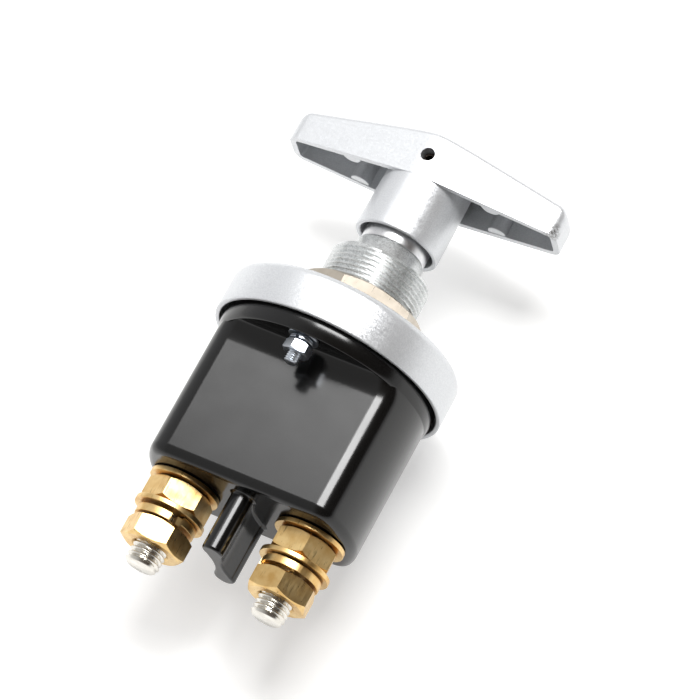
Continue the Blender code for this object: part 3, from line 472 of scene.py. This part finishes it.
def makeBoss():
    centre, neckEnd, low, _ = nodeSpan("threaded_boss")
    front = neckEnd + boss["neckLength"] * mm
    crest, pitch, chamfer = boss["crest"] * mm, boss["pitch"] * mm, boss["chamfer"] * mm
    neck, edge, foot = boss["neck"] * mm, boss["neckEdge"] * mm, boss["neckFoot"] * mm
    bore, flange, flangeTop = boss["bore"] * mm, boss["flange"] * mm, boss["flangeTop"] * mm
    profile = [(bore, low), (bore, neckEnd + edge), (bore + edge, neckEnd)]
    profile += [(neck - edge, neckEnd), (neck, neckEnd + edge), (neck, front - foot)]
    profile += [(neck + foot, front), (crest - chamfer, front)]
    profile += threadRows(crest, front + chamfer, boss["wallEnd"] * mm, pitch)
    profile += [(crest, flangeTop), (flange, flangeTop), (flange, low), (bore, low)]
    piece = turnPiece("boss", profile, boss["sides"], centre)
    cutStart, cutEnd = front + boss["cutStart"] * chamfer, boss["cutEnd"] * mm
    cutThread(piece, centre, crest, boss["depth"] * mm, pitch, cutStart, cutEnd, boss["runOut"] * pitch)
    finishPiece(piece, ["threaded_boss"], "case", zincCasting, smoothAngle=50)


# every nut: the cone that turns its corners off meets each end at faceShare of the width across flats,
# and its bore is countersunk by sinkShare of the bore's radius
hexNut = {"faceShare": 0.475, "coneAngle": 30, "clear": 0.3, "sinkShare": 0.12, "past": 1.0, "roundSteps": 3}
panelNut = {"flats": 36.0, "bore": 15.05, "cornerRound": 0.3, "sides": 160}
studNut = {"flats": 17.0, "bore": 5.06, "cornerRound": 0.2, "sides": 96}
screwNut = {"flats": 7.0, "bore": 2.04, "cornerRound": 0.1, "sides": 48}
# in degrees about the nut's own axis
nutTurns = {
    "panel_nut": 27.5, "inner_nut_a": 24.3, "outer_nut_a": 10.0, "inner_nut_b": 49.0, "outer_nut_b": 42.0,
    "screw_nut_a": 22.0, "screw_nut_b": 22.0,
}


def makeNut(node, size, material):
    # a hexagon whose corners are turned off by a cone at each end, bored and countersunk
    centre, near, far, _ = nodeSpan(node)
    flats, bore, past = size["flats"] * mm, size["bore"] * mm, hexNut["past"] * mm
    height, corner, slope = far - near, flats / math.sqrt(3), math.tan(math.radians(hexNut["coneAngle"]))
    clearSelection()
    bpy.ops.mesh.primitive_cylinder_add(
        vertices=6, radius=corner, depth=height, location=centre,
        rotation=(math.pi / 2, -math.radians(nutTurns[node] - 30), 0),
    )
    piece = bpy.context.object
    bpy.ops.object.transform_apply(location=True, rotation=True, scale=True)
    bpy.ops.object.mode_set(mode="EDIT")
    bpy.ops.mesh.select_all(action="DESELECT")
    shape = bmesh.from_edit_mesh(piece.data)
    for edge in shape.edges:
        along = edge.verts[0].co - edge.verts[1].co
        edge.select_set(abs(along.y) > 0.9 * along.length)
    bmesh.update_edit_mesh(piece.data)
    bpy.ops.mesh.bevel(offset=size["cornerRound"] * mm, segments=hexNut["roundSteps"])
    bpy.ops.object.mode_set(mode="OBJECT")
    face, wide = hexNut["faceShare"] * flats, corner + hexNut["clear"] * mm
    drop = slope * (wide - face)
    cone = [(face - past / slope, near - past), (wide, near + drop), (wide, far - drop)]
    cone.append((face - past / slope, far + past))
    carve(piece, turnPiece("cone", cone, size["sides"], centre), "INTERSECT")
    sink = hexNut["sinkShare"] * bore
    hole = [(bore + sink + past, near - past), (bore, near + sink), (bore, far - sink)]
    hole.append((bore + sink + past, far + past))
    carve(piece, turnPiece("hole", hole, size["sides"], centre))
    finishPiece(piece, [node], "case", material, smoothAngle=28, weighted=True)


housing = {
    "flat": 18.0, "radius": 32.0, "corner": 6.5, "edge": 3.0, "steps": 8, "bottom": 59.5,
    "fillet": 3.5, "filletLength": 6.4, "ledge": 16.0, "under": 12.0, "base": 32.6, "middle": 0.5,
    "lipWidth": 1.5, "lipHeight": 1.5, "lipStart": 13.6, "lipLean": 1.8, "lipSteps": 10, "rimSides": 192,
    "wall": 3.5, "floor": 10.0, "cavityCorner": 2.0, "stud": 5.3, "screw": 2.3, "holeSides": 48, "past": 1.0,
}
fin = {
    "length": 23.4, "bead": 3.25, "beadTurn": 40, "beadSteps": 32, "waist": 3.0, "swell": 0.3,
    "swellAt": 0.38, "edge": 0.8, "rootFillet": 1.0, "rootStart": 0.3, "sunk": 3.0,
}


def dOutline(radius, flat, corner, y, roundSteps=40, cornerSteps=10):
    # a circle with two flats and round corners, in millimetres, at one height
    cornerZ = flat - corner
    cornerX = math.sqrt((radius - corner) ** 2 - cornerZ**2)
    turn = math.degrees(math.atan2(cornerZ, cornerX))
    half = arcPoints((0, 0), radius, -turn, turn, roundSteps)
    half += arcPoints((cornerX, cornerZ), corner, turn, 90, cornerSteps)[1:]
    half += [(cornerX * share, flat) for share in (0.5, 0.0, -0.5)]
    half += arcPoints((-cornerX, cornerZ), corner, 90, 180 - turn, cornerSteps)
    other = [(-x, -z) for x, z in half[1:-1]]
    return [(x * mm, y * mm, z * mm) for x, z in half + other]


def finOutline(inset, y):
    bead = fin["bead"] - inset
    waist = fin["waist"] / 2 - inset
    centre = fin["length"] / 2 - fin["bead"]
    neck, swell = fin["swellAt"] * centre, waist + fin["swell"]
    half = arcPoints((0, centre), bead, -fin["beadTurn"], 180 + fin["beadTurn"], fin["beadSteps"])
    half += [(-swell, neck), (-waist - 0.3 * fin["swell"], neck / 2), (-waist, 0.0)]
    half += [(-waist - 0.3 * fin["swell"], -neck / 2), (-swell, -neck)]
    other = [(-x, -z) for x, z in half]
    return [(x * mm, y * mm, z * mm) for x, z in half + other]


def makeHousing():
    _, top, finEnd, _ = nodeSpan("housing")
    bottom, steps, past = housing["bottom"], housing["steps"], housing["past"]
    sections = []
    for step in range(steps + 1):
        angle = math.radians(90 * step / steps)
        inset = housing["edge"] * (1 - math.sin(angle))
        y = bottom - housing["edge"] * (1 - math.cos(angle))
        radius, flat, corner = (housing[key] - inset for key in ("radius", "flat", "corner"))
        sections.append(dOutline(radius, flat, corner, y))
    radius, flat, corner = (housing[key] for key in ("radius", "flat", "corner"))
    for step in range(steps + 1):
        angle = math.radians(90 * step / steps)
        flare = housing["fillet"] * (1 - math.cos(angle))
        y = housing["ledge"] + housing["filletLength"] * (1 - math.sin(angle))
        sections.append(dOutline(radius, flat + flare, corner, y))
    sections.append(dOutline(radius, flat + housing["fillet"], corner, housing["under"]))
    piece = skinPiece("body", sections)

    # the round base, whose lip stands up round the ledge
    lipRound = housing["lipWidth"] / 2 * mm
    lipTop = (housing["ledge"] + housing["lipHeight"]) * mm
    base, ledge, middle = housing["base"] * mm, housing["ledge"] * mm, housing["middle"] * mm
    lipStart = housing["lipStart"] * mm
    rim = [(middle, top), (base, top)]
    for share, rise in arcPoints((0, 0), 1.0, 0, 90, housing["lipSteps"]):
        lean = housing["lipLean"] * lipRound * (share - 1.0)
        rim.append((base + lean, lipStart + (lipTop - lipStart) * rise))
    rim += [(base - 1.95 * lipRound, lipTop - 0.1 * mm), (base - 2 * lipRound, lipTop - 0.3 * mm)]
    rim += [(base - 2 * lipRound, ledge), (middle, ledge)]
    carve(piece, turnPiece("rim", rim, housing["rimSides"]), "UNION")

    # the barrier rib: fillet at its root, round edge at its end
    root, edge, end = fin["rootFillet"], fin["edge"], finEnd / mm
    rows = [(-root, bottom - fin["sunk"]), (-root, bottom - fin["rootStart"])]
    for turn in (15, 35, 55, 72, 90):
        angle = math.radians(turn)
        rows.append((-root * (1 - math.sin(angle)), bottom + root * (1 - math.cos(angle))))
    rows.append((0.0, end - edge))
    for turn in (22.5, 45, 67.5, 90):
        angle = math.radians(turn)
        rows.append((edge * (1 - math.cos(angle)), end - edge * (1 - math.sin(angle))))
    carve(piece, skinPiece("fin", [finOutline(inset, y) for inset, y in rows]), "UNION")

    flat, radius = housing["flat"] - housing["wall"], housing["radius"] - housing["wall"]
    floorY, topY = bottom - housing["floor"], top / mm
    corner = housing["cavityCorner"]
    cavity = [dOutline(radius, flat, corner, y, roundSteps=16, cornerSteps=4) for y in (floorY, topY - past)]
    carve(piece, skinPiece("cavity", cavity))
    for node, size, near, far in (
        ("terminal_stud_a", "stud", floorY - past, bottom + past),
        ("terminal_stud_b", "stud", floorY - past, bottom + past),
        ("cover_screw_a", "screw", topY - past, housing["ledge"] + past),
        ("cover_screw_b", "screw", topY - past, housing["ledge"] + past),
    ):
        hole = [(housing[size] * mm, near * mm), (housing[size] * mm, far * mm)]
        carve(piece, turnPiece("hole", hole, housing["holeSides"], nodeSpan(node)[0]))
    finishPiece(piece, ["housing"], "case", blackMoulding, smoothAngle=30, weighted=True)


# tip: how far its points lie inside the crest and before the end, in chamfers
stud = {
    "crest": 5.0, "pitch": 1.5, "depth": 0.8, "chamfer": 0.9, "tip": ((0.55, 0.35), (0.8, 0.1), (1.0, 0.0)),
    "cutEnd": 0.2, "runOut": 0.7, "head": 15.0, "headHeight": 4.0, "middle": 0.3, "sunk": 1.0,
    "rowsPerTurn": 10, "sides": 96,
}
washer = {"bore": 5.3, "edge": 0.16, "sides": 128}
lockWasher = {"width": 3.6, "thick": 2.3, "rise": 0.7, "split": 12.0, "edge": 0.15, "steps": 120}
lockTurns = {"a": 128.0, "b": 30.0}
# points by the bore's first end lie beyond nearBore of its radius; slack is the angle an end may stray
lockEnds = {"nearBore": 0.98, "slack": 0.01}


def makeStud(label):
    node = f"terminal_stud_{label}"
    centre, headTop, end, _ = nodeSpan(node)
    crest, chamfer, pitch = stud["crest"] * mm, stud["chamfer"] * mm, stud["pitch"] * mm
    headLow = headTop + stud["headHeight"] * mm
    start = housing["bottom"] * mm
    head, middle = stud["head"] / 2 * mm, stud["middle"] * mm
    profile = [(middle, headTop), (head, headTop), (head, headLow), (crest, headLow)]
    profile.append((crest, start - stud["sunk"] * mm))
    profile += threadRows(crest, start, end - chamfer, pitch, stud["rowsPerTurn"])
    profile += [(crest - inset * chamfer, end - back * chamfer) for inset, back in stud["tip"]]
    profile.append((middle, end))
    piece = turnPiece("stud", profile, stud["sides"], centre)
    cutEnd = end - stud["cutEnd"] * chamfer
    cutThread(piece, centre, crest, stud["depth"] * mm, pitch, start, cutEnd, stud["runOut"] * pitch)
    finishPiece(piece, [node], "case", tinPlate, smoothAngle=50)


def makeWasher(node, size, material):
    centre, near, far, radius = nodeSpan(node)
    profile = bandProfile(size["bore"] * mm, radius, near, far, size["edge"] * mm)
    piece = turnPiece("washer", profile, size["sides"], centre)
    finishPiece(piece, [node], "case", material, smoothAngle=30, weighted=True)


def makeLockWasher(node, bore, values, turn, material):
    # a rounded strip spun just short of a full turn, then raised along the turn like a spring
    centre, near, _, _ = nodeSpan(node)
    bore, width, thick, edge = bore * mm, values["width"] * mm, values["thick"] * mm, values["edge"] * mm
    clearSelection()
    bpy.ops.mesh.primitive_plane_add(size=1.0, location=(0, 0, 0))
    piece = bpy.context.object
    corners = ((bore, 0.0), (bore + width, 0.0), (bore + width, thick), (bore, thick))
    points = piece.data.vertices
    order = sorted(range(4), key=lambda index: math.atan2(points[index].co.y, points[index].co.x))
    for index, (radius, y) in zip(order, corners):
        points[index].co = (radius, y, 0.0)
    bpy.ops.object.mode_set(mode="EDIT")
    bpy.ops.mesh.select_all(action="SELECT")
    bpy.ops.mesh.bevel(offset=edge, segments=3, affect="VERTICES")
    bpy.ops.mesh.select_all(action="SELECT")
    sweep = math.radians(360 - values["split"])
    bpy.ops.mesh.spin(steps=values["steps"], angle=sweep, center=(0, 0, 0), axis=(0, 1, 0))
    bpy.ops.mesh.select_all(action="SELECT")
    bpy.ops.mesh.remove_doubles(threshold=mergeGap)
    bpy.ops.mesh.normals_make_consistent(inside=False)
    bpy.ops.object.mode_set(mode="OBJECT")
    # spun either way round; the first end lies on +X
    besideX = [vertex for vertex in piece.data.vertices if vertex.co.x > lockEnds["nearBore"] * bore]
    spin = -1.0 if min(vertex.co.z for vertex in besideX) < 0 else 1.0
    rise = values["rise"] * mm
    for vertex in piece.data.vertices:
        along = (spin * math.atan2(vertex.co.z, vertex.co.x)) % tau
        if along > sweep + lockEnds["slack"]:
            along = 0.0
        vertex.co.y += near + rise * (1.0 - along / sweep)
    piece.data.transform(Matrix.Rotation(-math.radians(turn), 4, "Y"))
    piece.data.transform(Matrix.Translation((centre[0], 0.0, centre[2])))
    finishPiece(piece, [node], "case", material, smoothAngle=30, weighted=True)


screw = {
    "crest": 2.0, "pitch": 0.7, "depth": 0.3, "chamfer": 0.4, "cutEnd": 0.2, "head": 3.5, "headHeight": 2.7,
    "headEdge": 0.4, "shank": 2.0, "middle": 0.2, "sides": 72,
}
screwWasher = {"bore": 2.3, "edge": 0.15, "sides": 64}
screwLock = {"width": 1.3, "thick": 0.9, "rise": 0.25, "split": 16.0, "edge": 0.1, "steps": 72, "turn": 90.0}


def makeScrew(label):
    node = f"cover_screw_{label}"
    centre, headTop, end, _ = nodeSpan(node)
    crest, chamfer, pitch = screw["crest"] * mm, screw["chamfer"] * mm, screw["pitch"] * mm
    headLow = headTop + screw["headHeight"] * mm
    head, edge, middle = screw["head"] * mm, screw["headEdge"] * mm, screw["middle"] * mm
    start = headLow + screw["shank"] * mm
    profile = [(middle, headTop), (head - edge, headTop), (head, headTop + edge), (head, headLow)]
    profile.append((crest, headLow))
    profile += threadRows(crest, start, end - chamfer, pitch)
    profile += [(crest - chamfer, end), (middle, end)]
    piece = turnPiece("screw", profile, screw["sides"], centre)
    cutEnd = end - screw["cutEnd"] * chamfer
    cutThread(piece, centre, crest, screw["depth"] * mm, pitch, start, cutEnd, pitch)
    finishPiece(piece, [node], "case", bluePlate, smoothAngle=50)


# padFoot and skirtFoot: how far each point lies inside the full size and above the rim
handle = {
    "span": 85.0, "endWidth": 12.0, "hub": 12.7, "underside": 46.2, "endHeight": 9.2, "peakRise": 5.1,
    "peakRound": 6.0, "edge": 1.6, "edgeSteps": 6, "innerEdge": 0.6, "endEdge": 3.0, "endSteps": 8,
    "wall": 2.0, "rimRound": 0.45, "sections": 26, "crowding": 1.35,
    "padRadius": 3.0, "padX": 22.0, "padSteps": 20, "padFoot": ((0.5, 0.15), (0.15, 0.3), (0.0, 0.65)),
    "skirt": 12.8, "skirtWall": 1.5, "skirtRim": 29.0, "skirtFoot": ((0.02, 1.2), (0.1, 0.25), (0.35, 0.0)),
    "draft": 0.2, "skirtShoulder": 0.1, "skirtMouth": 0.3, "skirtRoof": 1.0, "roofCorner": 0.8, "sides": 144,
    "bore": 6.35, "boreTop": 57.4, "boreSides": 120, "middle": 0.3, "hubSink": 0.8,
    "pinHole": 2.05, "pinLength": 30, "pinY": 53.1, "pinSides": 64, "past": 1.0,
}


def roofHeight(x):
    # two slopes that meet in a round ridge
    peak = handle["peakRound"]
    fall = math.hypot(x, peak) - peak
    full = math.hypot(handle["span"] / 2, peak) - peak
    return handle["underside"] + handle["endHeight"] + handle["peakRise"] * (1 - fall / full)


def armHalfWidth(x):
    # straight flanks that touch the hub's circle
    endX, endZ = handle["span"] / 2, handle["endWidth"] / 2
    lean = math.asin(handle["hub"] / math.hypot(endX, endZ)) - math.atan2(endZ, endX)
    if x < handle["hub"] * math.sin(lean):
        return math.sqrt(handle["hub"] ** 2 - x**2)
    return endZ + (endX - x) * math.tan(lean)


def armSections(inset, bottom, edge, endEdge):
    # upright sections from one arm's end to the other, closer together towards the hub
    straight = handle["span"] / 2 - inset - endEdge
    steps, endSteps = handle["sections"], handle["endSteps"]
    half = [(straight * (step / steps) ** handle["crowding"], 0.0) for step in range(steps + 1)]
    for step in range(1, endSteps + 1):
        angle = math.radians(90 * step / endSteps)
        half.append((straight + endEdge * math.sin(angle), endEdge * (1 - math.cos(angle))))
    sections = []
    for x, pull in [(-x, pull) for x, pull in reversed(half[1:])] + half:
        z = armHalfWidth(abs(x)) - inset - pull
        top = roofHeight(x) - inset - pull
        side = arcPoints((z - edge, top - edge), edge, 0, 90, handle["edgeSteps"])
        outline = [(z, bottom), (z, (bottom + top) / 2), *side, (0.0, top)]
        outline += [(-a, b) for a, b in reversed(side)] + [(-z, (bottom + top) / 2), (-z, bottom)]
        sections.append([(x * mm, -b * mm, a * mm) for a, b in outline])
    return sections


# edges within level millimetres of the rim and sharper than sharp degrees are its edges
rimEdges = {"level": 0.002, "sharp": 50, "steps": 3}


def roundRim(piece, y, width):
    # the casting's open rim gets a small radius on both of its edges
    pick(piece)
    bpy.ops.object.mode_set(mode="EDIT")
    bpy.ops.mesh.select_all(action="DESELECT")
    leastTurn = math.radians(rimEdges["sharp"])
    shape = bmesh.from_edit_mesh(piece.data)
    for edge in shape.edges:
        flat = all(abs(vertex.co.y - y) < rimEdges["level"] * mm for vertex in edge.verts)
        sharp = len(edge.link_faces) == 2 and edge.calc_face_angle(0.0) > leastTurn
        edge.select_set(flat and sharp)
    bmesh.update_edit_mesh(piece.data)
    bpy.ops.mesh.bevel(offset=width, segments=rimEdges["steps"], clamp_overlap=True)
    bpy.ops.object.mode_set(mode="OBJECT")


def makeHandle():
    under, endEdge, wall = handle["underside"], handle["endEdge"], handle["wall"]
    past, middle = handle["past"], handle["middle"]
    piece = skinPiece("handle", armSections(0.0, under, handle["edge"], endEdge))
    hollow = armSections(wall, under - past, handle["innerEdge"], endEdge - wall)
    carve(piece, skinPiece("hollow", hollow))

    # four half-round pads on the hollow's long walls
    padRadius, padX = handle["padRadius"], handle["padX"]
    wallZ = armHalfWidth(padX) - wall
    padTop = roofHeight(padX) - wall / 2 - handle["innerEdge"]
    outline = arcPoints((0, 0), padRadius, 180, 360, handle["padSteps"])
    outline += [(padRadius, past), (-padRadius, past)]
    rows = [(inset, under + rise) for inset, rise in handle["padFoot"]] + [(0.0, padTop)]
    for side in (1, -1):
        for end in (1, -1):
            pad = []
            for inset, height in rows:
                share = 1.0 - inset / padRadius
                ring = []
                for x, z in outline:
                    across, out = end * padX + x * share, side * (wallZ + z * share)
                    ring.append((across * mm, -height * mm, out * mm))
                pad.append(ring)
            carve(piece, skinPiece("pad", pad), "UNION")

    skirt, draft, rim = handle["skirt"], handle["draft"], handle["skirtRim"]
    topRadius = skirt - draft
    hubTop = roofHeight(0.0) - handle["hubSink"] * wall
    hub = [(middle, hubTop), (topRadius - handle["skirtShoulder"], hubTop), (topRadius, under)]
    hub += [(skirt - inset, rim + rise) for inset, rise in handle["skirtFoot"]] + [(middle, rim)]
    carve(piece, turnPiece("hub", [(r * mm, -y * mm) for r, y in hub], handle["sides"]), "UNION")
    roundRim(piece, -under * mm, handle["rimRound"] * mm)

    # one turned tool cuts the bore and the skirt's inside
    bore, boreTop, inside = handle["bore"], handle["boreTop"], skirt - handle["skirtWall"]
    roofY, roofCorner, mouth = under - handle["skirtRoof"], handle["roofCorner"], handle["skirtMouth"]
    tool = [(middle, boreTop), (bore, boreTop), (bore, roofY)]
    tool += [(inside - draft - roofCorner, roofY), (inside - draft, roofY - roofCorner)]
    tool += [(inside, rim + mouth), (inside + mouth, rim)]
    tool += [(inside + mouth, rim - past), (middle, rim - past)]
    carve(piece, turnPiece("bore", [(r * mm, -y * mm) for r, y in tool], handle["boreSides"]))
    clearSelection()
    bpy.ops.mesh.primitive_cylinder_add(
        vertices=handle["pinSides"], radius=handle["pinHole"] * mm, depth=handle["pinLength"] * mm,
        location=(0, -handle["pinY"] * mm, 0),
    )
    carve(piece, bpy.context.object)
    finishPiece(piece, ["t_handle"], "handle", paint, smoothAngle=32, weighted=True)


bush = {
    "head": 9.8, "headStart": 26.3, "sleeve": 8.05, "bore": 6.35, "edge": 0.5, "edgeSteps": 5,
    "chamfer": 0.3, "chamferSteps": 3, "sides": 128,
}


def makeBush():
    centre, near, far, _ = nodeSpan("spindle_bush")
    head, bore, edge = bush["head"] * mm, bush["bore"] * mm, bush["edge"] * mm
    start, sleeve, chamfer = -bush["headStart"] * mm, bush["sleeve"] * mm, bush["chamfer"] * mm
    profile = [(bore, near + chamfer), (bore + chamfer, near)]
    profile += arcPoints((head - edge, near + edge), edge, -90, 0, bush["edgeSteps"])
    profile += arcPoints((head - chamfer, start - chamfer), chamfer, 0, 90, bush["chamferSteps"])
    profile += [(sleeve, start), (sleeve, far), (bore, far), (bore, near + chamfer)]
    piece = turnPiece("bush", profile, bush["sides"], centre)
    finishPiece(piece, ["spindle_bush"], "case", groundNickel, smoothAngle=40)


print("cover, boss and nut")
makeCover()
makeBoss()
makeNut("panel_nut", panelNut, nickel)
print("housing")
makeHousing()
print("terminals")
for label in ("a", "b"):
    makeStud(label)
    for kind in ("inner", "outer"):
        makeNut(f"{kind}_nut_{label}", studNut, machinedBrass)
    for kind in ("base", "lug"):
        makeWasher(f"{kind}_washer_{label}", washer, machinedBrass)
    node, turn = f"spring_washer_{label}", lockTurns[label]
    makeLockWasher(node, washer["bore"], lockWasher, turn, machinedBrass)
print("cover screws")
for label in ("a", "b"):
    makeScrew(label)
    makeNut(f"screw_nut_{label}", screwNut, bluePlate)
    makeWasher(f"screw_washer_{label}", screwWasher, bluePlate)
    node, turn = f"screw_lock_washer_{label}", screwLock["turn"]
    makeLockWasher(node, screwWasher["bore"], screwLock, turn, bluePlate)
print("handle and bush")
makeHandle()
makeBush()


def makeReturnSpring():
    # the frame's own coil, kept at the length the frame gives it; the real spring shortens towards its seat
    # as the contacts close
    piece = bpy.data.objects.new("spring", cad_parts["return_spring"].data.copy())
    bpy.context.scene.collection.objects.link(piece)
    pick(piece)
    bpy.ops.object.mode_set(mode="EDIT")
    bpy.ops.mesh.select_all(action="SELECT")
    bpy.ops.mesh.remove_doubles(threshold=mergeGap)
    bpy.ops.mesh.normals_make_consistent(inside=False)
    bpy.ops.object.mode_set(mode="OBJECT")
    finishPiece(piece, ["return_spring"], "case", groundSteel, smoothAngle=60)
    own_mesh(piece)


print("inner parts")
makeReturnSpring()
innerFinishes = {
    "cover_gasket": blackRubber, "spindle_seal": blackRubber, "stud_tip_a": contactSilver,
    "stud_tip_b": contactSilver, "contact_tip_a": contactSilver, "contact_tip_b": contactSilver,
    "contact_spring": groundSteel, "handle_pin": darkSteel,
    "spindle": groundSteel, "cam_clip": groundSteel, "bridge_clip": groundSteel,
    "cam_rotor": naturalNylon, "contact_carrier": naturalNylon, "contact_bridge": barCopper,
}
for node, material in innerFinishes.items():
    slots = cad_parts[node].data.materials
    slots.clear()
    slots.append(material)

# the floor is a lit table, so that shadows stay faint
floorLook = {"size": 8.0, "colour": "#CFCFCE", "roughness": 0.6, "glow": 0.5, "glowColour": "#FFFFFF"}


def makeFloor():
    clearSelection()
    lowest = cadBox[0][2]
    bpy.ops.mesh.primitive_plane_add(size=floorLook["size"], location=(0, 0, lowest))
    floor = bpy.context.object
    floor.name = "floor"
    material, _, shader, _ = newMaterial("paleFloor", floorLook["colour"], 0.0, floorLook["roughness"])
    shader.inputs["Emission Color"].default_value = hexColour(floorLook["glowColour"])
    shader.inputs["Emission Strength"].default_value = floorLook["glow"]
    floor.data.materials.append(material)


# each light: towards it from the switch, how far, its size across and along Y in metres, its radiance
lights = {
    "key": {"towards": (-0.13, -0.34, 0.93), "distance": 1.5, "size": (0.85, 0.5), "radiance": 18.0},
    "softbox": {"towards": (0.25, -0.45, 0.86), "distance": 1.5, "size": (0.53, 0.6), "radiance": 4.9},
}


def makeLight(name, values):
    towards = Vector(values["towards"]).normalized()
    data = bpy.data.lights.new(name, "AREA")
    data.shape = "RECTANGLE"
    data.size, data.size_y = values["size"]
    data.energy = values["radiance"] * math.pi * data.size * data.size_y
    light = bpy.data.objects.new(name, data)
    bpy.context.scene.collection.objects.link(light)
    across = Vector((towards.z, 0.0, -towards.x)).normalized()
    turn = Matrix((across, towards.cross(across), towards)).transposed()
    light.matrix_world = Matrix.Translation(towards * values["distance"]) @ turn.to_4x4()


# stops run from -X to +X; the sweep is the height over which the horizon gives way to the room
studio = {
    "horizon": "#F4F4F4", "sweep": (0.08, 0.2),
    "stops": ((0.0, "#3A322C"), (0.45, "#6F6861"), (0.75, "#CFCFCF"), (1.0, "#E4E4E6")),
}


def makeWorld():
    # a white sweep at the horizon, under a room that is dark on the -X side and light on the +X side
    world = bpy.data.worlds.new("studio")
    bpy.context.scene.world = world
    world.use_nodes = True
    tree = world.node_tree
    direction = addNode(tree, "ShaderNodeTexCoord").outputs["Generated"]
    parts = addNode(tree, "ShaderNodeSeparateXYZ", links={"Vector": direction})
    across = addRange(tree, parts.outputs["X"], 0.0, 1.0, -1.0, 1.0)
    room = addRamp(tree, across, studio["stops"])
    low = addRange(tree, parts.outputs["Z"], 1.0, 0.0, *studio["sweep"])
    colour = mixColour(tree, low, room, studio["horizon"])
    tree.links.new(colour, tree.nodes["Background"].inputs["Color"])


view = {
    "target": (-3.61, 5.44, 1.17), "distance": 1315.6, "azimuth": 135.56, "elevation": 61.18,
    "roll": -20.27, "lens": 244.8, "sensor": 36.0,
}


def makeCamera():
    azimuth, elevation = math.radians(view["azimuth"]), math.radians(view["elevation"])
    level, height = math.cos(elevation), math.sin(elevation)
    back = Vector((math.cos(azimuth) * level, math.sin(azimuth) * level, height))
    right = Vector((0, 0, 1)).cross(back).normalized()
    up = back.cross(right)
    turn = Matrix((right, up, back)).transposed() @ Matrix.Rotation(math.radians(view["roll"]), 3, "Z")
    data = bpy.data.cameras.new("camera")
    data.lens, data.sensor_width = view["lens"], view["sensor"]
    camera = bpy.data.objects.new("camera", data)
    bpy.context.scene.collection.objects.link(camera)
    place = (Vector(view["target"]) + back * view["distance"]) * mm
    camera.matrix_world = Matrix.Translation(place) @ turn.to_4x4()
    bpy.context.scene.camera = camera


print("floor, light and camera")
makeFloor()
for name, values in lights.items():
    makeLight(name, values)
makeWorld()
makeCamera()
bpy.context.scene.view_settings.view_transform = "Standard"
